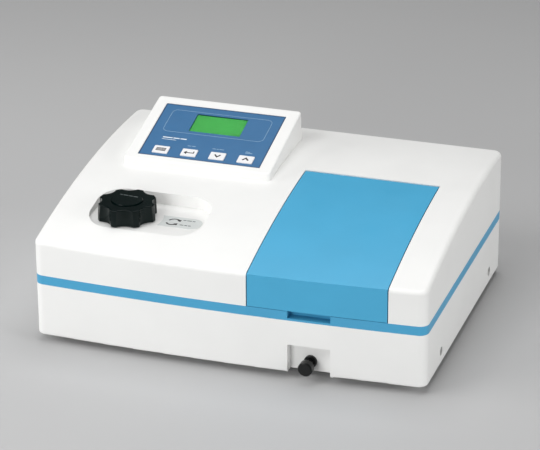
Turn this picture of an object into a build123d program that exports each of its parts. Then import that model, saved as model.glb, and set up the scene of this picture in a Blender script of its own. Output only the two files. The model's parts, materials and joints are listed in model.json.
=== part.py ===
from build123d import *
import math
import os

os.makedirs("parts", exist_ok=True)

# Bench visible spectrophotometer. Millimetres, +Z up. The origin is on the table under the
# centre of the instrument. -Y is the operator's side, +X is the sample side.

# ---------------------------------------------------------------- driving dimensions: case
CASE_WIDTH = 420.0
CASE_DEPTH = 319.0
FRONT_BOW = 6.9            # how far the front bulges between its corners
CORNER_RADIUS = 10.0
WALL = 3.0
FOOT_HEIGHT = 8.0
BASE_TOP = 66.0
BAND_TOP = 76.1
CREASE_Z = 111.8           # front edge of the curved top
TOP_SLOPE = 0.2588         # slope of the top at its front edge
TOP_CURVE = 0.000503       # how fast that slope falls off towards the rear
EDGE_RADIUS = 5.0
FLOOR_TOP = FOOT_HEIGHT + WALL
SKY = 200.0                # any height above the whole instrument, for cuts open at the top
FRONT_Y = -CASE_DEPTH / 2
REAR_Y = CASE_DEPTH / 2
SIDE_X = CASE_WIDTH / 2

# ---------------------------------------------------------------- driving dimensions: sample side
LID_LEFT, LID_RIGHT = 24.1, 169.6
LID_GAP = 1.0
BARREL_RADIUS = 2.4        # rounded rear edge of the lid, which turns about its own centre
HINGE_Y = 39.9
PIN_RADIUS = 1.0
RUNNING = 0.05             # radial clearance of shafts and pins that turn or slide
TUB_LEFT, TUB_RIGHT = 30.0, 164.0
TUB_FRONT, TUB_REAR = -143.0, 36.0
SHEET = 2.0
SILL_Z = 65.5
BEAM_Z = 45.0
BEAM_Y = -52.0
BEAM_HOLE = 8.0
CELL_PITCH = 16.0
CELL_COUNT = 4
CELL_WIDTH = 12.8
ROD_X = 88.0
ROD_Z = 18.3
ROD_RADIUS = 3.0
BUSH_RADIUS = 5.0
ROD_KNOB_FRONT = -169.0
NUT_RADIUS = 6.7
NUT_THICK = 3.5
RAIL_OFFSET = 30.0
RAIL_Z = 22.0
RAIL_RADIUS = 3.0

# ---------------------------------------------------------------- driving dimensions: recesses
RECESS_LEFT, RECESS_RIGHT = 66.5, 111.5
RECESS_TOP = 39.0
RECESS_BACK = -147.3
NOTCH_BOTTOM = 68.3
NOTCH_BACK = -148.0

# ---------------------------------------------------------------- driving dimensions: wavelength drive
KNOB_X, KNOB_Y = -131.3, -84.0
KNOB_RADIUS = 30.5
KNOB_HEIGHT = 18.0
KNOB_FLARE = 1.0           # how much wider the knob is at its foot
KNOB_LOBES = 8
LOBE_ANGLE = -52.4         # direction of one lobe, seen from above
FLUTE_RADIUS = 14.0
FLUTE_DEPTH = 5.0
POCKET_FLOOR = 122.2
KNOB_BOTTOM = POCKET_FLOOR + 1.0
MODULE = 1.0
BACKLASH = 0.16
PINION_TEETH = 18
IDLER_TEETH = 72
SECTOR_TEETH = 144
GRATING_X, GRATING_Y = -45.0, -14.0

# ---------------------------------------------------------------- driving dimensions: console
TILT = 13.5                # slope of the display panel
CONSOLE_LEFT, CONSOLE_RIGHT = -169.8, -6.4
CONSOLE_FRONT, CONSOLE_REAR = 8.5, 123.6
CONSOLE_Z = 146.9          # height of the sloping top's plane over the origin
SIDE_DRAFT = 0.03          # outward lean of the console's sides per millimetre of height
FRONT_DRAFT = 0.25         # the same for its front
CONSOLE_FOOT = 125.0       # height below which the case covers the console's lower edge
PANEL_WIDTH, PANEL_DEPTH = 136.5, 96.0
PANEL_X, PANEL_Y = -88.3, 63.3
LCD_WIDTH, LCD_DEPTH = 58.0, 32.5
LCD_X, LCD_V = -87.6, 19.0     # window centre: x, and distance up the slope from the panel's centre
KEY_WIDTH, KEY_DEPTH = 17.2, 12.6
KEY_X = (-134.4, -102.5, -70.7, -38.9)
KEY_V = -36.6
KEY_NAMES = ("mode_key", "enter_key", "down_key", "up_key")

# ---------------------------------------------------------------- driving dimensions: optics
BOX_LEFT, BOX_RIGHT = -176.0, 12.0
BOX_FRONT, BOX_REAR = -100.0, 62.0
BOX_BOTTOM, BOX_TOP = 13.0, 77.0
BOX_WALL = 4.0
LID_PLATE_TOP = 80.0
LAMP_X, LAMP_Y = -10.0, 112.0
AIR_SLOT_WIDTH, AIR_SLOT_DEPTH = 3.5, 46.0
AIR_SLOT_PITCH = 9.0
AIR_SLOTS = 6


def surface_z(y):
    """Height of the case's curved top at a depth y."""
    s = y - FRONT_Y
    return CREASE_Z + TOP_SLOPE * s - TOP_CURVE * s * s


def block(x0, x1, y0, y1, z0, z1, mode=Mode.ADD):
    """Upright block between two limits on each axis."""
    with Locations(((x0 + x1) / 2, (y0 + y1) / 2, (z0 + z1) / 2)):
        Box(x1 - x0, y1 - y0, z1 - z0, mode=mode)


def rod_z(x, y, z0, z1, radius, mode=Mode.ADD):
    """Vertical round bar or hole."""
    with Locations((x, y, (z0 + z1) / 2)):
        Cylinder(radius, z1 - z0, mode=mode)


def rod_y(x, z, y0, y1, radius, mode=Mode.ADD):
    """Round bar or hole along the depth."""
    with Locations(Location((x, (y0 + y1) / 2, z), (90, 0, 0))):
        Cylinder(radius, y1 - y0, mode=mode)


def rod_x(y, z, x0, x1, radius, mode=Mode.ADD):
    """Round bar or hole along the width."""
    with Locations(Location(((x0 + x1) / 2, y, z), (0, 90, 0))):
        Cylinder(radius, x1 - x0, mode=mode)


def plan_outline(inset, height):
    """Plan of the case: bowed front, straight sides and rear, rounded corners."""
    half = SIDE_X - inset
    front = FRONT_Y + inset
    rear = REAR_Y - inset
    with BuildSketch(Plane.XY.offset(height)) as plan:
        with BuildLine():
            ThreePointArc((-half, front + FRONT_BOW), (0, front), (half, front + FRONT_BOW))
            Polyline((half, front + FRONT_BOW), (half, rear), (-half, rear), (-half, front + FRONT_BOW))
        make_face()
        fillet(plan.vertices(), radius=max(CORNER_RADIUS - inset, 2.0))
    return plan.sketch


def case_form(inset, z_low, edge_radius=0.0):
    """Solid under the curved top, set in by the same amount at the sides and below the top."""
    y_points = (FRONT_Y - 5, 0, REAR_Y + 5)
    top = [(y, surface_z(y) - inset) for y in y_points]
    with BuildPart() as form:
        extrude(plan_outline(inset, z_low), amount=SKY)
        with BuildSketch(Plane.YZ):
            with BuildLine():
                ThreePointArc(*top)
                Polyline(top[2], (top[2][0], z_low), (top[0][0], z_low), top[0])
            make_face()
        extrude(amount=SIDE_X + 5, both=True, mode=Mode.INTERSECT)
        if edge_radius:
            crown = form.faces().filter_by(GeomType.CYLINDER).sort_by(SortBy.AREA)[-1]
            fillet(crown.edges(), radius=edge_radius)
    return form.part


def finish(builder, name):
    """Label a piece and write it."""
    builder.part.label = name
    export_step(builder.part, f"parts/{name}.step")


outer_form = case_form(0, BAND_TOP, EDGE_RADIUS)
inner_form = case_form(WALL, BAND_TOP - 1, EDGE_RADIUS - WALL)
lid_outer_form = case_form(0, BAND_TOP)
lid_inner_form = case_form(WALL, BAND_TOP - 1)
flange_form = case_form(12.0, BAND_TOP - 1)
rim_form = case_form(7.0, FLOOR_TOP)
seal_form = case_form(WALL + 0.6, FLOOR_TOP)

# ================================================================ base and case
FOOT_X, FOOT_Y = 175.0, 122.0
SCREW_Y = (-93.2, 108.2)
SCREW_Z = FOOT_HEIGHT + 13.6
PANEL_CUT = (62.0, 188.0, 16.0, 60.0)     # window of the connector plate: x and z limits
FOOT_BOTTOM_RADIUS, FOOT_TOP_RADIUS = 9.0, 11.0
FOOT_PEG_RADIUS = 2.5
BOSS_RADIUS, BOSS_DEPTH = 7.0, 9.0
SINK_RADIUS, SINK_DEPTH = 5.0, 6.0        # counterbore that hides a screw's head
SCREW_RADIUS, HEAD_RADIUS = 2.0, 3.6
HEAD_HEIGHT = 2.8
SCREW_LENGTH = 12.0
CROSS_REACH, CROSS_HALF, CROSS_DEPTH = 2.8, 0.45, 1.4

with BuildPart() as feet:
    with GridLocations(2 * FOOT_X, 2 * FOOT_Y, 2, 2):
        with Locations((0, 0, FOOT_HEIGHT / 2)):
            Cone(FOOT_BOTTOM_RADIUS, FOOT_TOP_RADIUS, FOOT_HEIGHT)
    chamfer(feet.faces().filter_by(Axis.Z).group_by(Axis.Z)[0].edges(), length=0.8)
    with GridLocations(2 * FOOT_X, 2 * FOOT_Y, 2, 2):
        with Locations((0, 0, FOOT_HEIGHT + WALL / 2)):
            Cylinder(FOOT_PEG_RADIUS, WALL)
finish(feet, "feet")

with BuildPart() as base_shell:
    extrude(plan_outline(0, FOOT_HEIGHT), amount=BASE_TOP - FOOT_HEIGHT)
    fillet(base_shell.faces().sort_by(Axis.Z)[0].edges(), radius=2.0)
    extrude(plan_outline(WALL, FLOOR_TOP), amount=BASE_TOP, mode=Mode.SUBTRACT)
    # walls of the rod recess, which is open to the front and below
    block(RECESS_LEFT - WALL, RECESS_RIGHT + WALL, FRONT_Y + 2.5, RECESS_BACK + WALL,
          FOOT_HEIGHT, RECESS_TOP + WALL)
    block(RECESS_LEFT, RECESS_RIGHT, FRONT_Y - 5, RECESS_BACK, 0, RECESS_TOP, Mode.SUBTRACT)
    rod_y(ROD_X, ROD_Z, RECESS_BACK - 1, RECESS_BACK + WALL + 1, BUSH_RADIUS, Mode.SUBTRACT)
    # counterbored bosses for the case screws
    for side in (-1, 1):
        for y in SCREW_Y:
            outer_x, inner_x = side * SIDE_X, side * (SIDE_X - BOSS_DEPTH)
            low, high = sorted((outer_x - side * SHEET, inner_x))
            rod_x(y, SCREW_Z, low, high, BOSS_RADIUS)
            low, high = sorted((outer_x + side, outer_x - side * SINK_DEPTH))
            rod_x(y, SCREW_Z, low, high, SINK_RADIUS, Mode.SUBTRACT)
            low, high = sorted((outer_x, inner_x - side))
            rod_x(y, SCREW_Z, low, high, SCREW_RADIUS, Mode.SUBTRACT)
    block(PANEL_CUT[0], PANEL_CUT[1], REAR_Y - WALL - 1, REAR_Y + 1, PANEL_CUT[2], PANEL_CUT[3],
          Mode.SUBTRACT)
    # air slots under the lamp house
    with Locations((LAMP_X, LAMP_Y, FOOT_HEIGHT + WALL / 2)):
        with GridLocations(AIR_SLOT_PITCH, 0, AIR_SLOTS, 1):
            Box(AIR_SLOT_WIDTH, AIR_SLOT_DEPTH, WALL + 2, mode=Mode.SUBTRACT)
    with GridLocations(2 * FOOT_X, 2 * FOOT_Y, 2, 2):
        with Locations((0, 0, FOOT_HEIGHT)):
            Cylinder(FOOT_PEG_RADIUS, 4 * WALL, mode=Mode.SUBTRACT)
finish(base_shell, "base_shell")

with BuildPart() as case_screws:
    for side in (-1, 1):
        for y in SCREW_Y:
            head_in = side * (SIDE_X - SINK_DEPTH)
            head_out = head_in + side * HEAD_HEIGHT
            low, high = sorted((head_out, head_in))
            rod_x(y, SCREW_Z, low, high, HEAD_RADIUS)
            low, high = sorted((head_in, head_in - side * SCREW_LENGTH))
            rod_x(y, SCREW_Z, low, high, SCREW_RADIUS)
            # cross recess in the head
            low, high = sorted((head_out + side, head_out - side * CROSS_DEPTH))
            for reach_y, reach_z in ((CROSS_REACH, CROSS_HALF), (CROSS_HALF, CROSS_REACH)):
                block(low, high, y - reach_y, y + reach_y, SCREW_Z - reach_z, SCREW_Z + reach_z,
                      Mode.SUBTRACT)
finish(case_screws, "case_screws")

TONGUE_HEIGHT, TONGUE_THICK = 3.5, 2.0
with BuildPart() as trim_band:
    extrude(plan_outline(0, BASE_TOP), amount=BAND_TOP - BASE_TOP)
    extrude(plan_outline(WALL, BASE_TOP), amount=BAND_TOP - BASE_TOP, mode=Mode.SUBTRACT)
    # tongue that locates the base and the cover on the band
    tongue_low, tongue_high = BASE_TOP - TONGUE_HEIGHT, BAND_TOP + TONGUE_HEIGHT
    with BuildSketch(Plane.XY.offset(tongue_low)):
        add(plan_outline(WALL, 0))
        add(plan_outline(WALL + TONGUE_THICK, 0), mode=Mode.SUBTRACT)
    extrude(amount=tongue_high - tongue_low)
    # finger notch under the lid
    block(RECESS_LEFT - SHEET, RECESS_RIGHT + SHEET, FRONT_Y + 2.5, NOTCH_BACK + SHEET,
          NOTCH_BOTTOM - SHEET, BAND_TOP)
    block(RECESS_LEFT, RECESS_RIGHT, FRONT_Y - 5, NOTCH_BACK, NOTCH_BOTTOM, tongue_high + 1,
          Mode.SUBTRACT)
    block(LID_LEFT - 6, LID_RIGHT + 6, FRONT_Y, NOTCH_BACK, BAND_TOP, tongue_high + 1, Mode.SUBTRACT)
finish(trim_band, "trim_band")

# ================================================================ top cover
POCKET_LEFT, POCKET_RIGHT, POCKET_REAR = -170.4, -45.0, -42.5
POCKET_FRONT = -115.5
POCKET_CORNER = 27.0
OPENING_REAR = HINGE_Y + BARREL_RADIUS + LID_GAP
HINGE_Z = surface_z(HINGE_Y) - BARREL_RADIUS
PIN_REACH = 25.0           # how far each hinge pin goes into the lid
PIN_HOLD = 11.0            # and into its boss
BOSS_HALF = 5.0
COVER_BUSH_RADIUS = 6.0
VENT_Z, VENT_ROW = 108.0, 13.0             # middle of the rear vents and half the rows' spacing
VENT_HEIGHT = 18.0
VENT_SIDE = 4              # vents each side of the middle one
CABLE_OPENING = (-152.0, -24.0, 13.0, 104.0)     # x and y limits of the hole below the console


def pocket_prism(grow, z_low, height):
    """Rounded slot in which the wavelength knob sits."""
    x0, x1 = POCKET_LEFT - grow, POCKET_RIGHT + grow
    y0, y1 = POCKET_FRONT - grow, POCKET_REAR + grow
    with BuildPart() as prism:
        with BuildSketch(Plane.XY.offset(z_low)):
            with Locations(((x0 + x1) / 2, (y0 + y1) / 2)):
                RectangleRounded(x1 - x0, y1 - y0, POCKET_CORNER + grow)
        extrude(amount=height)
    return prism.part


def side_bars(width, y0, y1, z0, z1):
    """Two upright bars just outside the lid opening, left and right."""
    left, right = LID_LEFT - LID_GAP, LID_RIGHT + LID_GAP
    block(left - width, left, y0, y1, z0, z1)
    block(right, right + width, y0, y1, z0, z1)


pocket_cut = pocket_prism(0, POCKET_FLOOR, 60)
pocket_shell = pocket_prism(WALL, POCKET_FLOOR - WALL, 60) & outer_form

with BuildPart() as opening_rim:
    side_bars(WALL, FRONT_Y - 5, OPENING_REAR + WALL, BAND_TOP, SKY)
    block(LID_LEFT - LID_GAP, LID_RIGHT + LID_GAP, OPENING_REAR, OPENING_REAR + WALL, BAND_TOP, SKY)
    add(outer_form, mode=Mode.INTERSECT)
    add(flange_form, mode=Mode.SUBTRACT)

with BuildPart() as top_cover:
    add(outer_form)
    add(inner_form, mode=Mode.SUBTRACT)
    add(pocket_shell)
    add(pocket_cut, mode=Mode.SUBTRACT)
    add(opening_rim.part)
    # bosses that hold the lid's hinge pins
    for x0 in (LID_LEFT - LID_GAP - PIN_HOLD - 1, LID_RIGHT + LID_GAP + 1):
        block(x0, x0 + PIN_HOLD, HINGE_Y - BOSS_HALF, HINGE_Y + BOSS_HALF, HINGE_Z - BOSS_HALF, HINGE_Z)
    block(LID_LEFT - LID_GAP, LID_RIGHT + LID_GAP, FRONT_Y - 5, OPENING_REAR, BAND_TOP - 1, SKY,
          Mode.SUBTRACT)
    rod_x(HINGE_Y, HINGE_Z, LID_LEFT - LID_GAP - PIN_HOLD, LID_LEFT, PIN_RADIUS, Mode.SUBTRACT)
    rod_x(HINGE_Y, HINGE_Z, LID_RIGHT, LID_RIGHT + LID_GAP + PIN_HOLD, PIN_RADIUS, Mode.SUBTRACT)
    # hole for the knob shaft's bush and openings below the console for the display and keys
    rod_z(KNOB_X, KNOB_Y, POCKET_FLOOR - 10, POCKET_FLOOR + 5, COVER_BUSH_RADIUS, Mode.SUBTRACT)
    block(*CABLE_OPENING, BAND_TOP, SKY, Mode.SUBTRACT)
    # cooling slots behind the lamp house
    for column in range(-VENT_SIDE, VENT_SIDE + 1):
        for row in (-1, 1):
            x, z = LAMP_X + column * AIR_SLOT_PITCH, VENT_Z + row * VENT_ROW
            block(x - AIR_SLOT_WIDTH / 2, x + AIR_SLOT_WIDTH / 2, REAR_Y - 2 * WALL, REAR_Y + 1,
                  z - VENT_HEIGHT / 2, z + VENT_HEIGHT / 2, Mode.SUBTRACT)
finish(top_cover, "top_cover")

with BuildPart() as hinge_pins:
    left, right = LID_LEFT - LID_GAP, LID_RIGHT + LID_GAP
    rod_x(HINGE_Y, HINGE_Z, left - PIN_HOLD, LID_LEFT + PIN_REACH - 1, PIN_RADIUS)
    rod_x(HINGE_Y, HINGE_Z, LID_RIGHT - PIN_REACH + 1, right + PIN_HOLD, PIN_RADIUS)
finish(hinge_pins, "hinge_pins")

# ================================================================ lid and its light seal
LID_WALL = 2.4
LID_BOTTOM = BAND_TOP + 0.5
with BuildPart() as lid_sides:
    block(LID_LEFT, LID_LEFT + LID_WALL, FRONT_Y - 5, HINGE_Y, LID_BOTTOM, SKY)
    block(LID_RIGHT - LID_WALL, LID_RIGHT, FRONT_Y - 5, HINGE_Y, LID_BOTTOM, SKY)
    add(lid_outer_form, mode=Mode.INTERSECT)
    add(flange_form, mode=Mode.SUBTRACT)

with BuildPart() as lid:
    block(LID_LEFT, LID_RIGHT, FRONT_Y - 5, HINGE_Y, LID_BOTTOM, SKY)
    add(lid_outer_form, mode=Mode.INTERSECT)
    add(lid_inner_form, mode=Mode.SUBTRACT)
    add(lid_sides.part)
    rod_x(HINGE_Y, HINGE_Z, LID_LEFT, LID_RIGHT, BARREL_RADIUS)
    rod_x(HINGE_Y, HINGE_Z, LID_LEFT - 1, LID_LEFT + PIN_REACH, PIN_RADIUS + RUNNING, Mode.SUBTRACT)
    rod_x(HINGE_Y, HINGE_Z, LID_RIGHT - PIN_REACH, LID_RIGHT + 1, PIN_RADIUS + RUNNING, Mode.SUBTRACT)
finish(lid, "lid")

TUB_NOSE = -147.0          # how far the tub's side walls reach to the front
with BuildPart() as sample_tub:
    block(TUB_LEFT, TUB_RIGHT, TUB_FRONT, TUB_REAR, FLOOR_TOP, SKY)
    block(TUB_LEFT + SHEET, TUB_RIGHT - SHEET, TUB_FRONT + SHEET, TUB_REAR - SHEET,
          FLOOR_TOP + SHEET, SKY + 1, Mode.SUBTRACT)
    block(TUB_LEFT, TUB_LEFT + SHEET, TUB_NOSE, TUB_FRONT, FLOOR_TOP, SKY)
    block(TUB_RIGHT - SHEET, TUB_RIGHT, TUB_NOSE, TUB_FRONT, FLOOR_TOP, SKY)
    block(TUB_LEFT + SHEET, TUB_RIGHT - SHEET, TUB_NOSE, TUB_FRONT + SHEET, SILL_Z, SKY + 1,
          Mode.SUBTRACT)
    block(TUB_LEFT, TUB_RIGHT, TUB_NOSE, TUB_FRONT + SHEET, SILL_Z - SHEET, SILL_Z)
    add(rim_form, mode=Mode.INTERSECT)
    rod_y(ROD_X, ROD_Z, TUB_FRONT - 1, TUB_FRONT + SHEET + 1, ROD_RADIUS + 1, Mode.SUBTRACT)
    rod_x(BEAM_Y, BEAM_Z, TUB_LEFT - 1, TUB_LEFT + SHEET + 1, BEAM_HOLE, Mode.SUBTRACT)
    rod_x(BEAM_Y, BEAM_Z, TUB_RIGHT - SHEET - 1, TUB_RIGHT + 1, BEAM_HOLE, Mode.SUBTRACT)
    for side in (-1, 1):
        rod_y(ROD_X + side * RAIL_OFFSET, RAIL_Z, TUB_FRONT - 1, TUB_REAR + 1, RAIL_RADIUS, Mode.SUBTRACT)
finish(sample_tub, "sample_tub")

with BuildPart() as light_seal:
    block(TUB_LEFT, TUB_LEFT + SHEET, TUB_NOSE, TUB_REAR, SILL_Z, SKY)
    block(TUB_RIGHT - SHEET, TUB_RIGHT, TUB_NOSE, TUB_REAR, SILL_Z, SKY)
    block(TUB_LEFT, TUB_RIGHT, TUB_REAR - SHEET, TUB_REAR, SILL_Z, SKY)
    add(seal_form, mode=Mode.INTERSECT)
    add(rim_form, mode=Mode.SUBTRACT)
finish(light_seal, "light_seal")

# ================================================================ cuvette carriage and pull rod
CARRIAGE_FRONT, CARRIAGE_REAR = BEAM_Y - 10.0, BEAM_Y + 3 * CELL_PITCH + 10.0
CARRIAGE_HALF = 38.0
CARRIAGE_BOTTOM, CARRIAGE_TOP = 14.6, 30.0
HOLDER_TOP = 62.0
HOLDER_HALF = 12.0
WALL_BELOW_CELL = 3.0
BEAM_WINDOW_HALF = 2.5
ROD_DEPTH = 14.0           # how far the rod goes into the carriage
ROD_KNOB_LENGTH = 8.5
ROD_KNOB_RADIUS = 7.6
ROD_COLLAR_RADIUS, ROD_COLLAR_LENGTH = 4.6, 3.0
NOTCH_RADIUS = 3.0
NOTCH_OFFSET = 1.2         # how far outside the carriage's side a notch is centred
SPRING_WIDTH = 10.0
LEAF_THICK = 0.8

with BuildPart() as guide_rails:
    for side in (-1, 1):
        rod_y(ROD_X + side * RAIL_OFFSET, RAIL_Z, TUB_FRONT, TUB_REAR, RAIL_RADIUS)
finish(guide_rails, "guide_rails")

with BuildPart() as cuvette_carriage:
    block(ROD_X - CARRIAGE_HALF, ROD_X + CARRIAGE_HALF, CARRIAGE_FRONT, CARRIAGE_REAR,
          CARRIAGE_BOTTOM, CARRIAGE_TOP)
    for side in (-1, 1):
        rod_y(ROD_X + side * RAIL_OFFSET, RAIL_Z, CARRIAGE_FRONT - 1, CARRIAGE_REAR + 1,
              RAIL_RADIUS + RUNNING, Mode.SUBTRACT)
    rod_y(ROD_X, ROD_Z, CARRIAGE_FRONT - 1, CARRIAGE_FRONT + ROD_DEPTH, ROD_RADIUS, Mode.SUBTRACT)
    # notches for the spring that stops the carriage at each cell
    for cell in range(CELL_COUNT):
        notch_y = BEAM_Y + cell * CELL_PITCH
        rod_z(ROD_X + CARRIAGE_HALF + NOTCH_OFFSET, notch_y, CARRIAGE_BOTTOM - 1, CARRIAGE_TOP + 1,
              NOTCH_RADIUS, Mode.SUBTRACT)
    chamfer(cuvette_carriage.faces().sort_by(Axis.Z)[-1].edges().filter_by(Axis.Y), length=1.5)
finish(cuvette_carriage, "cuvette_carriage")

with BuildPart() as cuvette_holder:
    block(ROD_X - HOLDER_HALF, ROD_X + HOLDER_HALF, CARRIAGE_FRONT, CARRIAGE_REAR,
          CARRIAGE_TOP, HOLDER_TOP)
    fillet(cuvette_holder.edges().filter_by(Axis.Z), radius=2.0)
    for cell in range(CELL_COUNT):
        y = BEAM_Y + cell * CELL_PITCH
        half = CELL_WIDTH / 2
        block(ROD_X - half, ROD_X + half, y - half, y + half, CARRIAGE_TOP + WALL_BELOW_CELL,
              HOLDER_TOP + 1, Mode.SUBTRACT)
        block(ROD_X - HOLDER_HALF - 1, ROD_X + HOLDER_HALF + 1, y - BEAM_WINDOW_HALF, y + BEAM_WINDOW_HALF,
              BEAM_Z - 8, BEAM_Z + 10, Mode.SUBTRACT)
finish(cuvette_holder, "cuvette_holder")

with BuildPart() as detent_spring:
    # bent leaf on a foot, its rounded nose just clear of the carriage
    leaf_x = ROD_X + CARRIAGE_HALF + 3.3
    leaf_foot, leaf_top = FLOOR_TOP + SHEET, CARRIAGE_TOP - 4
    low, high = BEAM_Y - SPRING_WIDTH / 2, BEAM_Y + SPRING_WIDTH / 2
    block(leaf_x, leaf_x + 12.7, low, high, leaf_foot, leaf_foot + 1.5)
    block(leaf_x, leaf_x + LEAF_THICK, low, high, leaf_foot, leaf_top)
    rod_z(leaf_x - 1.2, BEAM_Y, leaf_top - 7, leaf_top, 1.8)
finish(detent_spring, "detent_spring")

with BuildPart() as pull_rod:
    rod_y(ROD_X, ROD_Z, ROD_KNOB_FRONT + 2, CARRIAGE_FRONT + ROD_DEPTH, ROD_RADIUS)
finish(pull_rod, "pull_rod")

with BuildPart() as rod_knob:
    head_rear = ROD_KNOB_FRONT + ROD_KNOB_LENGTH
    rod_y(ROD_X, ROD_Z, ROD_KNOB_FRONT, head_rear, ROD_KNOB_RADIUS)
    chamfer(rod_knob.faces().sort_by(Axis.Y)[0].edges(), length=1.0)
    rod_y(ROD_X, ROD_Z, head_rear, head_rear + ROD_COLLAR_LENGTH, ROD_COLLAR_RADIUS)
    rod_y(ROD_X, ROD_Z, ROD_KNOB_FRONT + 2, ROD_KNOB_FRONT + 20, ROD_RADIUS, Mode.SUBTRACT)
finish(rod_knob, "rod_knob")

with BuildPart() as rod_bush:
    rod_y(ROD_X, ROD_Z, RECESS_BACK - NUT_THICK, RECESS_BACK + WALL + 1.3, BUSH_RADIUS)
    rod_y(ROD_X, ROD_Z, RECESS_BACK - 10, RECESS_BACK + 10, ROD_RADIUS + RUNNING, Mode.SUBTRACT)
finish(rod_bush, "rod_bush")

with BuildPart() as bush_nut:
    rod_y(ROD_X, ROD_Z, RECESS_BACK - NUT_THICK, RECESS_BACK, NUT_RADIUS)
    chamfer(bush_nut.faces().sort_by(Axis.Y)[0].edges(), length=0.7)
    rod_y(ROD_X, ROD_Z, RECESS_BACK - NUT_THICK - 1, RECESS_BACK + 1, BUSH_RADIUS, Mode.SUBTRACT)
    # two notches for a pin spanner
    for side in (-1, 1):
        notch_x = ROD_X + side * NUT_RADIUS
        block(notch_x - 0.8, notch_x + 0.8, RECESS_BACK - NUT_THICK - 1, RECESS_BACK - 1.5,
              ROD_Z - 0.9, ROD_Z + 0.9, Mode.SUBTRACT)
finish(bush_nut, "bush_nut")

# ================================================================ display console
CONSOLE_PLANE = Plane(
    origin=(PANEL_X, PANEL_Y, CONSOLE_Z + math.tan(math.radians(TILT)) * PANEL_Y),
    x_dir=(1, 0, 0),
    z_dir=(0, -math.sin(math.radians(TILT)), math.cos(math.radians(TILT))),
)
PANEL_RECESS = 1.3         # depth of the panel's seat below the console's top
PANEL_THICK = 1.0
PANEL_GAP = 0.4            # gap round the panel in its seat
WINDOW_LIP = 1.8           # ledge of the window behind the panel
WINDOW_SINK = 0.6          # how far the window lies below the panel's face
LIP_THICK = 1.0
SHELL = 2.6
MODULE_GAP = 0.2           # between the window and the display module
GLASS_SINK = 0.4           # how far the module's bezel stands above the display
KEY_RISE = 0.9
KEY_GAP = 0.25
KEY_SKIRT = 2.0            # how far the flange behind a key spreads
KEY_FLANGE = 1.4
KEY_FREE = 0.6             # space between the shell and the flange
SWITCH_SIZE, SWITCH_HEIGHT = 6.2, 2.2
BOARD_THICK = 1.6
DEEP = 20.0                # more than any thickness that is cut through


def panel_prism(width, depth, u, v, low, high, corner=0.0):
    """Rectangular prism square to the console's sloping top; low and high are above that top."""
    with BuildPart() as prism:
        with BuildSketch(CONSOLE_PLANE.offset(low)):
            with Locations((u - PANEL_X, v)):
                if corner:
                    RectangleRounded(width, depth, corner)
                else:
                    Rectangle(width, depth)
        extrude(amount=high - low)
    return prism.part


def console_form(inset, edge_radius, corner_radius):
    """Solid inside the console's sloping top, drafted sides, steep front and upright rear."""
    slope = math.tan(math.radians(TILT))
    front, rear = CONSOLE_FRONT + inset, CONSOLE_REAR - inset
    drop = inset / math.cos(math.radians(TILT))
    front_z = CONSOLE_Z + slope * front - drop
    rear_z = CONSOLE_Z + slope * rear - drop
    foot = CONSOLE_FOOT
    with BuildPart() as form:
        with BuildSketch(Plane.YZ):
            with BuildLine():
                Polyline((front - FRONT_DRAFT * (front_z - foot), foot), (front, front_z),
                         (rear, rear_z), (rear, foot), close=True)
            make_face()
        extrude(amount=SIDE_X, both=True)
        left, right = CONSOLE_LEFT + inset, CONSOLE_RIGHT - inset
        crown = CONSOLE_Z + slope * CONSOLE_REAR
        spread = SIDE_DRAFT * (crown - foot)
        with BuildSketch(Plane.XZ.offset(-CASE_DEPTH)):
            with BuildLine():
                Polyline((left, crown), (right, crown), (right + spread, foot), (left - spread, foot),
                         close=True)
            make_face()
        extrude(amount=2 * CASE_DEPTH, mode=Mode.INTERSECT)
        uprights = form.edges().filter_by(lambda e: abs(e.tangent_at(0).Z) > 0.9)
        fillet(uprights, radius=corner_radius)
        crown_face = form.faces().filter_by(lambda f: f.normal_at().Z > 0.9).sort_by(Axis.Z)[-1]
        fillet(crown_face.edges(), radius=edge_radius)
    return form.part


def lcd_prism(grow, low, high):
    """Rectangular prism over the display, larger than its window by grow on each side."""
    return panel_prism(LCD_WIDTH + 2 * grow, LCD_DEPTH + 2 * grow, LCD_X, LCD_V, low, high)


console_outer = console_form(0, edge_radius=1.8, corner_radius=4.0)
console_inner = console_form(SHELL, edge_radius=0.8, corner_radius=2.0)
panel_seat = panel_prism(PANEL_WIDTH + 2 * PANEL_GAP, PANEL_DEPTH + 2 * PANEL_GAP, PANEL_X, 0,
                         -PANEL_RECESS, DEEP)
lcd_opening = lcd_prism(WINDOW_LIP + 0.2, -DEEP, DEEP)
lcd_hole = lcd_prism(0, -DEEP, DEEP)
key_holes = []
for key_x in KEY_X:
    key_holes.append(panel_prism(KEY_WIDTH + 2 * KEY_GAP, KEY_DEPTH + 2 * KEY_GAP, key_x, KEY_V,
                                 -DEEP, DEEP))

with BuildPart() as console_housing:
    add(console_outer)
    add(console_inner, mode=Mode.SUBTRACT)
    add(panel_seat, mode=Mode.SUBTRACT)
    add(lcd_opening, mode=Mode.SUBTRACT)
    for hole in key_holes:
        add(hole, mode=Mode.SUBTRACT)
    add(outer_form, mode=Mode.SUBTRACT)
finish(console_housing, "console_housing")

with BuildPart() as keypad_panel:
    add(panel_prism(PANEL_WIDTH, PANEL_DEPTH, PANEL_X, 0, -PANEL_RECESS, PANEL_THICK - PANEL_RECESS))
    add(lcd_hole, mode=Mode.SUBTRACT)
    for hole in key_holes:
        add(hole, mode=Mode.SUBTRACT)
finish(keypad_panel, "keypad_panel")

with BuildPart() as lcd_window:
    add(lcd_prism(0, -PANEL_RECESS, PANEL_THICK - PANEL_RECESS - WINDOW_SINK))
    add(lcd_prism(WINDOW_LIP, -PANEL_RECESS - LIP_THICK, -PANEL_RECESS))
finish(lcd_window, "lcd_window")

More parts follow.
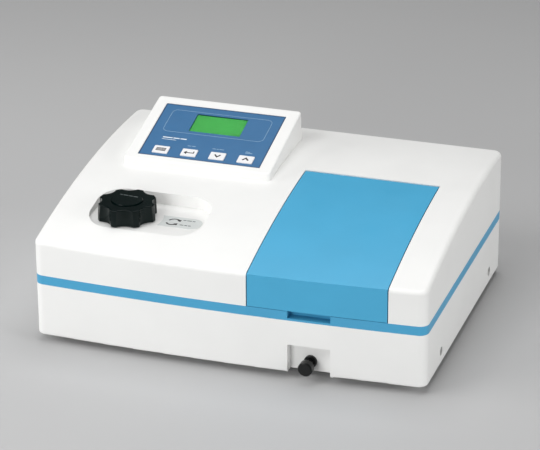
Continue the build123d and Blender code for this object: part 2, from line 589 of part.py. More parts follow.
MODULE_TOP = -PANEL_RECESS - LIP_THICK - MODULE_GAP
BEZEL_HEIGHT = 4.0
with BuildPart() as lcd_module:
    add(lcd_prism(1.5, MODULE_TOP - BEZEL_HEIGHT, MODULE_TOP))
    add(panel_prism(LCD_WIDTH + 24, LCD_DEPTH + 14, LCD_X, LCD_V,
                    MODULE_TOP - BEZEL_HEIGHT - BOARD_THICK, MODULE_TOP - BEZEL_HEIGHT))
    add(lcd_prism(0, MODULE_TOP - GLASS_SINK, MODULE_TOP + 1), mode=Mode.SUBTRACT)
finish(lcd_module, "lcd_module")

with BuildPart() as lcd_glass:
    add(lcd_prism(0, MODULE_TOP - GLASS_SINK, MODULE_TOP - 0.05))
finish(lcd_glass, "lcd_glass")

KEY_TOP = PANEL_THICK - PANEL_RECESS + KEY_RISE
FLANGE_TOP = -SHELL - KEY_FREE
KEY_BOTTOM = FLANGE_TOP - 2 * KEY_FLANGE
for key_name, key_x in zip(KEY_NAMES, KEY_X):
    with BuildPart() as key:
        add(panel_prism(KEY_WIDTH, KEY_DEPTH, key_x, KEY_V, FLANGE_TOP - KEY_FLANGE, KEY_TOP, 1.0))
        add(panel_prism(KEY_WIDTH + 2 * KEY_SKIRT, KEY_DEPTH + 2 * KEY_SKIRT, key_x, KEY_V,
                        KEY_BOTTOM, FLANGE_TOP))
        top_face = key.faces().filter_by(lambda f: f.normal_at().Z > 0.9).sort_by(Axis.Z)[-1]
        fillet(top_face.edges(), radius=0.35)
    finish(key, key_name)

BOARD_TOP = KEY_BOTTOM - 1.0 - SWITCH_HEIGHT
with BuildPart() as key_board:
    add(panel_prism(124, 24, PANEL_X, KEY_V, BOARD_TOP - BOARD_THICK, BOARD_TOP))
    for key_x in KEY_X:
        add(panel_prism(SWITCH_SIZE, SWITCH_SIZE, key_x, KEY_V, BOARD_TOP, BOARD_TOP + SWITCH_HEIGHT))
finish(key_board, "key_board")

# ================================================================ wavelength knob and gear train
SHAFT_RADIUS = 3.0
SHAFT_BOTTOM = 84.0
SHAFT_TOP = KNOB_BOTTOM + 14.0
UPPER_GEAR = (96.0, 102.0)
LOWER_GEAR = (86.0, 92.0)
STAGE_1 = MODULE * (PINION_TEETH + IDLER_TEETH) / 2
STAGE_2 = MODULE * (PINION_TEETH + SECTOR_TEETH) / 2
KNOB_TOP = KNOB_BOTTOM + KNOB_HEIGHT
KNOB_FOOT_RADIUS = KNOB_RADIUS + KNOB_FLARE
CAP_RADIUS, CAP_GAP = 16.3, 0.7
CAP_SINK, CAP_RISE = 1.6, 1.1
HUB_RADIUS, HOLLOW_RADIUS, HOLLOW_DEPTH = 8.0, 21.0, 12.0

# the idler's axis closes the triangle between the knob's axis and the grating's axis
reach = math.dist((KNOB_X, KNOB_Y), (GRATING_X, GRATING_Y))
base_angle = math.atan2(GRATING_Y - KNOB_Y, GRATING_X - KNOB_X)
apex_angle = math.acos((STAGE_1**2 + reach**2 - STAGE_2**2) / (2 * STAGE_1 * reach))
mesh_1 = base_angle + apex_angle
IDLER_X = KNOB_X + STAGE_1 * math.cos(mesh_1)
IDLER_Y = KNOB_Y + STAGE_1 * math.sin(mesh_1)
mesh_2 = math.atan2(GRATING_Y - IDLER_Y, GRATING_X - IDLER_X)


def involute(angle):
    """Involute function of a pressure angle."""
    return math.tan(angle) - angle


def polar(radius, angle):
    """Point at a radius and an angle."""
    return (radius * math.cos(angle), radius * math.sin(angle))


def tooth_points(teeth, centre_angle):
    """Outline of one involute tooth, from root to root, round the gear's own centre."""
    pressure = math.radians(20)
    pitch_r = MODULE * teeth / 2
    base_r = pitch_r * math.cos(pressure)
    root_r, tip_r = pitch_r - 1.25 * MODULE, pitch_r + MODULE
    half = math.pi / (2 * teeth) - BACKLASH / (4 * pitch_r)
    start_r = max(root_r, base_r)
    radii = [start_r + (tip_r - start_r) * step / 4 for step in range(5)]
    flank = []
    if root_r < base_r:
        flank.append((root_r, half + involute(pressure)))
    for radius in radii:
        flank.append((radius, half + involute(pressure) - involute(math.acos(base_r / radius))))
    rising = [polar(radius, centre_angle - width) for radius, width in flank]
    falling = [polar(radius, centre_angle + width) for radius, width in reversed(flank)]
    return rising + falling


def gear_outline(teeth, first_angle):
    """Closed outline of a whole gear with one tooth centred on first_angle."""
    points = []
    for index in range(teeth):
        points += tooth_points(teeth, first_angle + index * 2 * math.pi / teeth)
    return points


with BuildPart() as wavelength_knob:
    with BuildSketch(Plane.XY.offset(KNOB_BOTTOM)) as knob_plan:
        with Locations((KNOB_X, KNOB_Y)):
            Circle(KNOB_FOOT_RADIUS)
            with PolarLocations(KNOB_FOOT_RADIUS + FLUTE_RADIUS - FLUTE_DEPTH, KNOB_LOBES,
                                start_angle=LOBE_ANGLE + 180 / KNOB_LOBES):
                Circle(FLUTE_RADIUS, mode=Mode.SUBTRACT)
        fillet(knob_plan.vertices(), radius=1.6)
    extrude(amount=KNOB_HEIGHT)
    with Locations((KNOB_X, KNOB_Y, KNOB_BOTTOM + KNOB_HEIGHT / 2)):
        Cone(KNOB_FOOT_RADIUS, KNOB_RADIUS, KNOB_HEIGHT, mode=Mode.INTERSECT)
    fillet(wavelength_knob.faces().sort_by(Axis.Z)[-1].edges(), radius=1.0)
    rod_z(KNOB_X, KNOB_Y, KNOB_TOP - CAP_SINK, KNOB_TOP + 1, CAP_RADIUS + CAP_GAP, Mode.SUBTRACT)
    # moulded hollow round the hub
    with BuildSketch(Plane.XY.offset(KNOB_BOTTOM)):
        with Locations((KNOB_X, KNOB_Y)):
            Circle(HOLLOW_RADIUS)
            Circle(HUB_RADIUS, mode=Mode.SUBTRACT)
    extrude(amount=HOLLOW_DEPTH, mode=Mode.SUBTRACT)
    rod_z(KNOB_X, KNOB_Y, KNOB_BOTTOM - 1, SHAFT_TOP, SHAFT_RADIUS, Mode.SUBTRACT)
finish(wavelength_knob, "wavelength_knob")

with BuildPart() as knob_cap:
    rod_z(KNOB_X, KNOB_Y, KNOB_TOP - CAP_SINK, KNOB_TOP + CAP_RISE, CAP_RADIUS)
    chamfer(knob_cap.faces().sort_by(Axis.Z)[-1].edges(), length=0.5)
finish(knob_cap, "knob_cap")

with BuildPart() as knob_shaft:
    rod_z(KNOB_X, KNOB_Y, SHAFT_BOTTOM, SHAFT_TOP, SHAFT_RADIUS)
finish(knob_shaft, "knob_shaft")

with BuildPart() as knob_bush:
    bush_bottom = POCKET_FLOOR - 8
    rod_z(KNOB_X, KNOB_Y, bush_bottom, POCKET_FLOOR, COVER_BUSH_RADIUS)
    rod_z(KNOB_X, KNOB_Y, bush_bottom, POCKET_FLOOR - WALL, COVER_BUSH_RADIUS + 3)
    rod_z(KNOB_X, KNOB_Y, bush_bottom - 1, POCKET_FLOOR + 1, SHAFT_RADIUS + RUNNING, Mode.SUBTRACT)
finish(knob_bush, "knob_bush")

with BuildPart() as drive_pinion:
    with BuildSketch(Plane.XY.offset(UPPER_GEAR[0])):
        with Locations((KNOB_X, KNOB_Y)):
            Polygon(*gear_outline(PINION_TEETH, mesh_1), align=None)
            Circle(SHAFT_RADIUS, mode=Mode.SUBTRACT)
    extrude(amount=UPPER_GEAR[1] - UPPER_GEAR[0])
finish(drive_pinion, "drive_pinion")

IDLER_RADIUS = 2.5
BOSS_TOP = LOWER_GEAR[0] - 0.4
SPACER_RADIUS = 7.0
LIGHTENING_RADIUS, LIGHTENING_HOLE, LIGHTENING_COUNT = 22.0, 6.5, 6
SENSOR = (107.0, 117.0)
SENSOR_RADIUS = 11.0
BRACKET_REACH = 46.0
BRACKET_HALF = 8.0
with BuildPart() as idler_gear:
    with BuildSketch(Plane.XY.offset(UPPER_GEAR[0])):
        with Locations((IDLER_X, IDLER_Y)):
            Polygon(*gear_outline(IDLER_TEETH, mesh_1 + math.pi + math.pi / IDLER_TEETH), align=None)
            with PolarLocations(LIGHTENING_RADIUS, LIGHTENING_COUNT):
                Circle(LIGHTENING_HOLE, mode=Mode.SUBTRACT)
    extrude(amount=UPPER_GEAR[1] - UPPER_GEAR[0])
    rod_z(IDLER_X, IDLER_Y, LOWER_GEAR[1], UPPER_GEAR[0], SPACER_RADIUS)
    with BuildSketch(Plane.XY.offset(LOWER_GEAR[0])):
        with Locations((IDLER_X, IDLER_Y)):
            Polygon(*gear_outline(PINION_TEETH, mesh_2), align=None)
    extrude(amount=LOWER_GEAR[1] - LOWER_GEAR[0])
    rod_z(IDLER_X, IDLER_Y, LOWER_GEAR[0] - 1, UPPER_GEAR[1] + 1, IDLER_RADIUS, Mode.SUBTRACT)
finish(idler_gear, "idler_gear")

with BuildPart() as idler_shaft:
    rod_z(IDLER_X, IDLER_Y, BOX_TOP + 1.5, SENSOR[0] + 6, IDLER_RADIUS)
finish(idler_shaft, "idler_shaft")

with BuildPart() as wavelength_sensor:
    # turning sensor on a bracket that reaches over the gear
    rod_z(IDLER_X, IDLER_Y, SENSOR[0], SENSOR[1], SENSOR_RADIUS)
    post_x = IDLER_X - BRACKET_REACH
    low, high = IDLER_Y - BRACKET_HALF, IDLER_Y + BRACKET_HALF
    block(post_x, IDLER_X + BRACKET_HALF, low, high, SENSOR[0] - SHEET, SENSOR[0])
    block(post_x, post_x + WALL, low, high, LID_PLATE_TOP, SENSOR[0])
    rod_z(IDLER_X, IDLER_Y, SENSOR[0] - 3, SENSOR[0] + 6.3, IDLER_RADIUS + RUNNING, Mode.SUBTRACT)
finish(wavelength_sensor, "wavelength_sensor")

SECTOR_HALF = 8            # teeth each side of the sector's middle
SECTOR_HUB_RADIUS = 12.0
SPOKE_RADIUS, SPOKE_SPREAD = 10.0, 1.2     # where the sector's sides start on the hub
SECTOR_HOLES = ((26.0, 5.0), (42.0, 8.0), (59.0, 5.5))     # distance out and radius of each
TABLE_RADIUS = 4.0
with BuildPart() as sector_gear:
    with BuildSketch(Plane.XY.offset(LOWER_GEAR[0])):
        with Locations((GRATING_X, GRATING_Y)):
            pitch_angle = 2 * math.pi / SECTOR_TEETH
            middle = mesh_2 + math.pi
            outline = []
            for index in range(-SECTOR_HALF, SECTOR_HALF):
                outline += tooth_points(SECTOR_TEETH, middle + (index + 0.5) * pitch_angle)
            rim_half = (SECTOR_HALF + 0.5) * pitch_angle
            rim_radius = MODULE * SECTOR_TEETH / 2 - 1.25 * MODULE
            outline.insert(0, polar(rim_radius, middle - rim_half))
            outline.insert(0, polar(SPOKE_RADIUS, middle - SPOKE_SPREAD))
            outline.append(polar(rim_radius, middle + rim_half))
            outline.append(polar(SPOKE_RADIUS, middle + SPOKE_SPREAD))
            Polygon(*outline, align=None)
            Circle(SECTOR_HUB_RADIUS)
            Circle(TABLE_RADIUS, mode=Mode.SUBTRACT)
            for radius, size in SECTOR_HOLES:
                with Locations(polar(radius, middle)):
                    Circle(size, mode=Mode.SUBTRACT)
    extrude(amount=LOWER_GEAR[1] - LOWER_GEAR[0])
finish(sector_gear, "sector_gear")

LABEL_X, LABEL_Y = -76.0, -82.4
LABEL_WIDTH, LABEL_DEPTH, LABEL_CORNER = 51.0, 25.6, 11.0
LABEL_HOLLOW = 37.8        # radius of its end that follows the knob
LABEL_THICK = 0.4
with BuildPart() as direction_label:
    with BuildSketch(Plane.XY.offset(POCKET_FLOOR)):
        with Locations((LABEL_X, LABEL_Y)):
            RectangleRounded(LABEL_WIDTH, LABEL_DEPTH, LABEL_CORNER)
        # the end by the knob has square corners
        with Locations((LABEL_X - 14, LABEL_Y)):
            Rectangle(16, LABEL_DEPTH)
        with Locations((KNOB_X, KNOB_Y)):
            Circle(LABEL_HOLLOW, mode=Mode.SUBTRACT)
    extrude(amount=LABEL_THICK)
finish(direction_label, "direction_label")

# ================================================================ monochromator
GRATING_ANGLE = 162.0      # way the grating's ruled face looks at rest, seen from above
MIRRORS = ((-163.0, 25.0, -16.0), (-163.0, -52.0, 14.0))   # x, y and turn of each concave mirror
FOLD_X, FOLD_Y = -10.0, 33.0
SLIT_SIZE = 24.0
SLIT_THICK = 1.0
SLIT_HALF_WIDTH, SLIT_HALF_HEIGHT = 0.4, 6.0
CHASSIS = (-190.0, 24.0, -125.0, 148.0)    # x and y limits
BOX_CORNER = 6.0
SHAFT_BOSS_RADIUS, IDLER_BOSS_RADIUS = 8.0, 6.0
SHAFT_BOSS_TOP = 94.0
TABLE_BUSH_RADIUS = 7.0
PIVOT_BOSS_RADIUS, PIVOT_BOSS_HEIGHT = 9.0, 6.0

with BuildPart() as chassis_plate:
    block(*CHASSIS, FLOOR_TOP, BOX_BOTTOM)
    with Locations((LAMP_X, LAMP_Y, BOX_BOTTOM)):
        with GridLocations(AIR_SLOT_PITCH, 0, AIR_SLOTS, 1):
            Box(AIR_SLOT_WIDTH, AIR_SLOT_DEPTH, 3 * SHEET, mode=Mode.SUBTRACT)
finish(chassis_plate, "chassis_plate")

with BuildPart() as monochromator_box:
    block(BOX_LEFT, BOX_RIGHT, BOX_FRONT, BOX_REAR, BOX_BOTTOM, BOX_TOP)
    fillet(monochromator_box.edges().filter_by(Axis.Z), radius=BOX_CORNER)
    block(BOX_LEFT + BOX_WALL, BOX_RIGHT - BOX_WALL, BOX_FRONT + BOX_WALL, BOX_REAR - BOX_WALL,
          BOX_BOTTOM + BOX_WALL, BOX_TOP + 1, Mode.SUBTRACT)
    rod_x(BEAM_Y, BEAM_Z, BOX_RIGHT - BOX_WALL - 1, BOX_RIGHT + 1, BEAM_HOLE, Mode.SUBTRACT)
    rod_y(FOLD_X, BEAM_Z, BOX_REAR - BOX_WALL - 1, BOX_REAR + 1, BEAM_HOLE, Mode.SUBTRACT)
    boss_top = BOX_BOTTOM + BOX_WALL + PIVOT_BOSS_HEIGHT
    rod_z(GRATING_X, GRATING_Y, BOX_BOTTOM + BOX_WALL, boss_top, PIVOT_BOSS_RADIUS)
    rod_z(GRATING_X, GRATING_Y, BOX_BOTTOM + 2, boss_top + 1, TABLE_RADIUS + RUNNING, Mode.SUBTRACT)
finish(monochromator_box, "monochromator_box")

with BuildPart() as monochromator_lid:
    block(BOX_LEFT, BOX_RIGHT, BOX_FRONT, BOX_REAR, BOX_TOP, LID_PLATE_TOP)
    fillet(monochromator_lid.edges().filter_by(Axis.Z), radius=BOX_CORNER)
    rod_z(GRATING_X, GRATING_Y, BOX_TOP - 1, LID_PLATE_TOP + 1, TABLE_BUSH_RADIUS, Mode.SUBTRACT)
    # bearing bosses for the knob's shaft and the idler's shaft
    rod_z(KNOB_X, KNOB_Y, LID_PLATE_TOP, SHAFT_BOSS_TOP, SHAFT_BOSS_RADIUS)
    rod_z(KNOB_X, KNOB_Y, SHAFT_BOTTOM - 0.4, SHAFT_BOSS_TOP + 1, SHAFT_RADIUS + RUNNING, Mode.SUBTRACT)
    rod_z(IDLER_X, IDLER_Y, LID_PLATE_TOP, BOSS_TOP, IDLER_BOSS_RADIUS)
    rod_z(IDLER_X, IDLER_Y, BOX_TOP + 1.2, BOSS_TOP + 1, IDLER_RADIUS + RUNNING, Mode.SUBTRACT)
finish(monochromator_lid, "monochromator_lid")

with BuildPart() as grating_bush:
    rod_z(GRATING_X, GRATING_Y, BOX_TOP - 2, LID_PLATE_TOP + 3, TABLE_BUSH_RADIUS)
    rod_z(GRATING_X, GRATING_Y, BOX_TOP - 5, LID_PLATE_TOP + 5, TABLE_RADIUS + RUNNING, Mode.SUBTRACT)
finish(grating_bush, "grating_bush")


def upright_plane(x, y, z, degrees):
    """Vertical plane through a point, facing the given direction seen from above."""
    angle = math.radians(degrees)
    return Plane(
        origin=(x, y, z),
        x_dir=(-math.sin(angle), math.cos(angle), 0),
        z_dir=(math.cos(angle), math.sin(angle), 0),
    )


def plate_on(plane, width, height, low, high):
    """Flat plate square to a plane, between two distances in front of it."""
    with BuildPart() as plate:
        with BuildSketch(plane.offset(low)):
            Rectangle(width, height)
        extrude(amount=high - low)
    return plate.part


def disc_on(plane, radius, low, high):
    """Round disc square to a plane, between two distances in front of it."""
    with BuildPart() as disc:
        with BuildSketch(plane.offset(low)):
            Circle(radius)
        extrude(amount=high - low)
    return disc.part


GRATING_SIZE = 30.0
GRATING_THICK = 6.0
HOLDER_SIZE = 33.0
HOLDER_THICK = 12.0
TABLE_Z = (25.0, 28.5)
TABLE_PLATE_RADIUS = 20.0
TOP_PLATE_RADIUS, TOP_PLATE_THICK = 12.0, 3.0
grating_plane = upright_plane(GRATING_X, GRATING_Y, BEAM_Z, GRATING_ANGLE)
with BuildPart() as grating_table:
    rod_z(GRATING_X, GRATING_Y, BOX_BOTTOM + BOX_WALL, TABLE_Z[1], TABLE_RADIUS)
    rod_z(GRATING_X, GRATING_Y, TABLE_Z[0], TABLE_Z[1], TABLE_PLATE_RADIUS)
    add(plate_on(grating_plane, HOLDER_SIZE, HOLDER_SIZE, -HOLDER_THICK, 0))
    add(plate_on(grating_plane, GRATING_SIZE, GRATING_SIZE, -GRATING_THICK, 1), mode=Mode.SUBTRACT)
    holder_top = BEAM_Z + HOLDER_SIZE / 2
    rod_z(GRATING_X, GRATING_Y, holder_top, holder_top + TOP_PLATE_THICK, TOP_PLATE_RADIUS)
    rod_z(GRATING_X, GRATING_Y, holder_top, LOWER_GEAR[1] + 1.5, TABLE_RADIUS)
finish(grating_table, "grating_table")

with BuildPart() as grating:
    add(plate_on(grating_plane, GRATING_SIZE, GRATING_SIZE, -GRATING_THICK, 0))
finish(grating, "grating")

fold_plane = upright_plane(FOLD_X, FOLD_Y, BEAM_Z, 135.0)
MIRROR_RADIUS = 18.0
MIRROR_THICK = 7.0
DISH_RADIUS = 160.0
FLAT_SIZE, FLAT_THICK = 26.0, 4.0
MOUNT_WIDTH, MOUNT_THICK = 30.0, 3.0
with BuildPart() as mirrors:
    for x, y, turn in MIRRORS:
        face = upright_plane(x, y, BEAM_Z, turn)
        add(disc_on(face, MIRROR_RADIUS, 0, MIRROR_THICK))
        with Locations(face.from_local_coords(Vector(0, 0, MIRROR_THICK - 1.0 + DISH_RADIUS))):
            Sphere(DISH_RADIUS, mode=Mode.SUBTRACT)
    add(plate_on(fold_plane, FLAT_SIZE, FLAT_SIZE, -FLAT_THICK, 0))
finish(mirrors, "mirrors")

with BuildPart() as mirror_mounts:
    mount_height = 2 * (BEAM_Z - BOX_BOTTOM - BOX_WALL)
    for x, y, turn in MIRRORS:
        face = upright_plane(x, y, BEAM_Z, turn)
        add(plate_on(face, MOUNT_WIDTH, mount_height, -MOUNT_THICK, 0))
    add(plate_on(fold_plane, MOUNT_WIDTH, mount_height, -FLAT_THICK - MOUNT_THICK, -FLAT_THICK))
finish(mirror_mounts, "mirror_mounts")

with BuildPart() as slit_plates:
    inner_right, inner_rear = BOX_RIGHT - BOX_WALL, BOX_REAR - BOX_WALL
    half = SLIT_SIZE / 2
    z_slit = (BEAM_Z - SLIT_HALF_HEIGHT, BEAM_Z + SLIT_HALF_HEIGHT)
    block(inner_right - SLIT_THICK, inner_right, BEAM_Y - half, BEAM_Y + half, BEAM_Z - half, BEAM_Z + half)
    block(FOLD_X - half, FOLD_X + half, inner_rear - SLIT_THICK, inner_rear, BEAM_Z - half, BEAM_Z + half)
    block(inner_right - 2 * SLIT_THICK, inner_right + 1, BEAM_Y - SLIT_HALF_WIDTH,
          BEAM_Y + SLIT_HALF_WIDTH, *z_slit, Mode.SUBTRACT)
    block(FOLD_X - SLIT_HALF_WIDTH, FOLD_X + SLIT_HALF_WIDTH, inner_rear - 2 * SLIT_THICK,
          inner_rear + 1, *z_slit, Mode.SUBTRACT)
finish(slit_plates, "slit_plates")

LAMP_HOUSE = (-45.0, 23.0, 72.0, 148.0, BOX_BOTTOM, 92.0)  # x, y and z limits
LENS_RADIUS, LENS_THICK = 10.0, 3.0
CONDENSER_RADIUS, CONDENSER_THICK = 12.0, 5.0
with BuildPart() as beam_lenses:
    rod_x(BEAM_Y, BEAM_Z, TUB_LEFT - LENS_THICK, TUB_LEFT, LENS_RADIUS)
    rod_x(BEAM_Y, BEAM_Z, TUB_RIGHT, TUB_RIGHT + LENS_THICK, LENS_RADIUS)
    rod_y(FOLD_X, BEAM_Z, LAMP_HOUSE[2] - CONDENSER_THICK, LAMP_HOUSE[2], CONDENSER_RADIUS)
finish(beam_lenses, "beam_lenses")

# ================================================================ lamp and detector
THIN = 1.5
LAMP_WINDOW_RADIUS = 9.0
with BuildPart() as lamp_house:
    x0, x1, y0, y1, z0, z1 = LAMP_HOUSE
    block(x0, x1, y0, y1, z0, z1)
    block(x0 + THIN, x1 - THIN, y0 + THIN, y1 - THIN, z0 - 1, z1 - THIN, Mode.SUBTRACT)
    rod_y(FOLD_X, BEAM_Z, y0 - 1, y0 + WALL, LAMP_WINDOW_RADIUS, Mode.SUBTRACT)
    with Locations((LAMP_X, LAMP_Y, z1)):
        with GridLocations(AIR_SLOT_PITCH, 0, AIR_SLOTS, 1):
            Box(AIR_SLOT_WIDTH, AIR_SLOT_DEPTH, 6, mode=Mode.SUBTRACT)
finish(lamp_house, "lamp_house")

BULB_Y = LAMP_Y - 6.0      # the bulb stands a little in front of the lamp house's middle
BULB_RADIUS = 5.5
BULB_BOTTOM, BULB_SHOULDER = BEAM_Z - 10, BEAM_Z + 8
LAMP_PIN_X, LAMP_PIN_RADIUS = 3.2, 0.6
LAMP_PIN_END = BEAM_Z - 20
SOCKET_TOP = BEAM_Z - 14
with BuildPart() as lamp_socket:
    block(FOLD_X - 16, FOLD_X + 16, BULB_Y - 12, BULB_Y + 12, BOX_BOTTOM, BOX_BOTTOM + 3)
    block(FOLD_X - 9, FOLD_X + 9, BULB_Y - 6, BULB_Y + 6, BOX_BOTTOM + 3, SOCKET_TOP)
    for side in (-1, 1):
        rod_z(FOLD_X + side * LAMP_PIN_X, BULB_Y, LAMP_PIN_END, SOCKET_TOP + 1, LAMP_PIN_RADIUS,
              Mode.SUBTRACT)
finish(lamp_socket, "lamp_socket")

with BuildPart() as halogen_lamp:
    rod_z(FOLD_X, BULB_Y, BULB_BOTTOM, BULB_SHOULDER, BULB_RADIUS)
    with Locations((FOLD_X, BULB_Y, BULB_SHOULDER)):
        Sphere(BULB_RADIUS)
    for side in (-1, 1):
        rod_z(FOLD_X + side * LAMP_PIN_X, BULB_Y, LAMP_PIN_END, BULB_BOTTOM, LAMP_PIN_RADIUS)
finish(halogen_lamp, "halogen_lamp")

DETECTOR = (168.0, 196.0, -82.0, -22.0, 18.0, 72.0)        # x, y and z limits
DETECTOR_HOLE = 6.0
CELL_RADIUS, CELL_FRONT = 6.5, DETECTOR[1] - 12.0
CELL_BOARD = (24.0, 66.0)  # z limits of the board behind the photocell
with BuildPart() as detector_housing:
    x0, x1, y0, y1, z0, z1 = DETECTOR
    block(x0, x1, y0, y1, z0, z1)
    block(x0 + SHEET, x1 - SHEET, y0 + SHEET, y1 - SHEET, z0 + SHEET, z1 - SHEET, Mode.SUBTRACT)
    rod_x(BEAM_Y, BEAM_Z, x0 - 1, x0 + SHEET + 1, DETECTOR_HOLE, Mode.SUBTRACT)
    # foot
    block(x0 + 4, x1 - 4, y0 + 6, y1 - 6, FLOOR_TOP, z0)
finish(detector_housing, "detector_housing")

with BuildPart() as photocell:
    board_front, board_rear = DETECTOR[1] - 5.6, DETECTOR[1] - 4.0
    block(board_front, board_rear, BEAM_Y - 22, BEAM_Y + 22, *CELL_BOARD)
    rod_x(BEAM_Y, BEAM_Z, CELL_FRONT, board_front, CELL_RADIUS)
    # rib that holds the board off the housing's wall
    block(board_rear, DETECTOR[1] - SHEET, BEAM_Y - 4, BEAM_Y + 4, *CELL_BOARD)
finish(photocell, "photocell")

# ================================================================ power and electronics
TRANSFORMER_X, TRANSFORMER_Y = 87.0, 95.0
with BuildPart() as transformer:
    # iron core, winding and mounting strap: width, depth, lower and upper height above the floor
    for width, depth, low, high in ((62, 50, 0, 46), (38, 70, 8, 38), (78, 34, 0, 2)):
        block(TRANSFORMER_X - width / 2, TRANSFORMER_X + width / 2, TRANSFORMER_Y - depth / 2,
              TRANSFORMER_Y + depth / 2, FLOOR_TOP + low, FLOOR_TOP + high)
finish(transformer, "transformer")

BOARD_Z = 22.0
BOARD = (130.0, 190.0, 44.0, 130.0)        # x and y limits
STANDOFF_INSET, STANDOFF_RADIUS = 5.0, 3.0
# each chip or connector: x and y limits, then its height above the board's underside
CHIPS = ((138, 162, 54, 78, 4.4), (166, 182, 56, 68, 6.0), (138, 148, 90, 120, 10.0))
CAPACITOR_X, CAPACITOR_RADIUS, CAPACITOR_HEIGHT = 172.0, 5.0, 20.0
with BuildPart() as main_board:
    board_face = BOARD_Z + BOARD_THICK
    block(*BOARD, BOARD_Z, board_face)
    for x in (BOARD[0] + STANDOFF_INSET, BOARD[1] - STANDOFF_INSET):
        for y in (BOARD[2] + STANDOFF_INSET, BOARD[3] - STANDOFF_INSET):
            rod_z(x, y, FLOOR_TOP, BOARD_Z, STANDOFF_RADIUS)
    for x0, x1, y0, y1, height in CHIPS:
        block(x0, x1, y0, y1, board_face, BOARD_Z + height)
    for y in (84, 98, 112):
        rod_z(CAPACITOR_X, y, board_face, BOARD_Z + CAPACITOR_HEIGHT, CAPACITOR_RADIUS)
finish(main_board, "main_board")

# ================================================================ connector plate at the rear
PLATE_INNER = REAR_Y - WALL - THIN
PLATE_OUTER = REAR_Y - WALL
SOCKET_Z = 38.0
INLET_X, SWITCH_X, FUSE_X, PORT_X = 165.0, 132.0, 108.0, 81.0
ROCKER_TILT = 10.0
# half width and half height of each part's body behind the plate, flange and mouth
INLET_BODY, INLET_FLANGE, INLET_MOUTH = (13.5, 10.0), (15.5, 12.0), (12.0, 8.0)
SWITCH_BODY, SWITCH_FLANGE, SWITCH_MOUTH = (6.5, 9.5), (8.0, 11.0), (4.8, 7.8)
PORT_BODY, PORT_FLANGE, PORT_MOUTH = (8.3, 4.1), (15.4, 6.2), (7.6, 3.4)
PORT_GAP = (8.5, 4.5)
INLET_PINS = ((-7.0, -1.5), (0.0, 2.5), (7.0, -1.5))
AXLE_RADIUS = 1.2
FUSE_RADIUS = 6.0


def socket_block(x, half, y0, y1, mode=Mode.ADD):
    """Block on the connector plate, centred on x and on the sockets' height."""
    block(x - half[0], x + half[0], y0, y1, SOCKET_Z - half[1], SOCKET_Z + half[1], mode)


with BuildPart() as connector_plate:
    block(PANEL_CUT[0] - 4, PANEL_CUT[1] + 4, PLATE_INNER, PLATE_OUTER, PANEL_CUT[2] - 3.5, PANEL_CUT[3] + 2)
    for x, half in ((INLET_X, INLET_BODY), (SWITCH_X, SWITCH_BODY), (PORT_X, PORT_GAP)):
        socket_block(x, half, PLATE_INNER - 1, PLATE_OUTER + 1, Mode.SUBTRACT)
    rod_y(FUSE_X, SOCKET_Z, PLATE_INNER - 1, PLATE_OUTER + 1, FUSE_RADIUS, Mode.SUBTRACT)
finish(connector_plate, "connector_plate")

with BuildPart() as power_inlet:
    socket_block(INLET_X, INLET_BODY, PLATE_OUTER - 20, PLATE_OUTER)
    socket_block(INLET_X, INLET_FLANGE, PLATE_OUTER, PLATE_OUTER + 2)
    socket_block(INLET_X, INLET_MOUTH, PLATE_OUTER - 15, PLATE_OUTER + 3, Mode.SUBTRACT)
    for x, z in INLET_PINS:
        block(INLET_X + x - 1, INLET_X + x + 1, PLATE_OUTER - 16, PLATE_OUTER - 3,
              SOCKET_Z + z - 2, SOCKET_Z + z + 2)
finish(power_inlet, "power_inlet")

PIVOT_Y = PLATE_OUTER - 4.5
with BuildPart() as power_switch:
    socket_block(SWITCH_X, SWITCH_BODY, PLATE_OUTER - 18, PLATE_OUTER)
    socket_block(SWITCH_X, SWITCH_FLANGE, PLATE_OUTER, PLATE_OUTER + THIN)
    socket_block(SWITCH_X, SWITCH_MOUTH, PIVOT_Y - 6, PLATE_OUTER + 3, Mode.SUBTRACT)
    rod_x(PIVOT_Y, SOCKET_Z, SWITCH_X - 6, SWITCH_X + 6, AXLE_RADIUS)
finish(power_switch, "power_switch")

rocker_plane = Plane(
    origin=(SWITCH_X, PIVOT_Y, SOCKET_Z),
    x_dir=(0, math.cos(math.radians(ROCKER_TILT)), math.sin(math.radians(ROCKER_TILT))),
    z_dir=(1, 0, 0),
)
# the rocker's outline as seen from its side: outward and along its length
ROCKER_OUTLINE = ((-1.5, -5.6), (6.9, -6.3), (5.6, 0.0), (6.9, 6.3), (-1.5, 5.6))
with BuildPart() as power_rocker:
    with BuildSketch(rocker_plane):
        with BuildLine():
            Polyline(*ROCKER_OUTLINE, close=True)
        make_face()
        Circle(2.8)
        Circle(AXLE_RADIUS + RUNNING, mode=Mode.SUBTRACT)
    extrude(amount=SWITCH_MOUTH[0] - 0.2, both=True)
finish(power_rocker, "power_rocker")

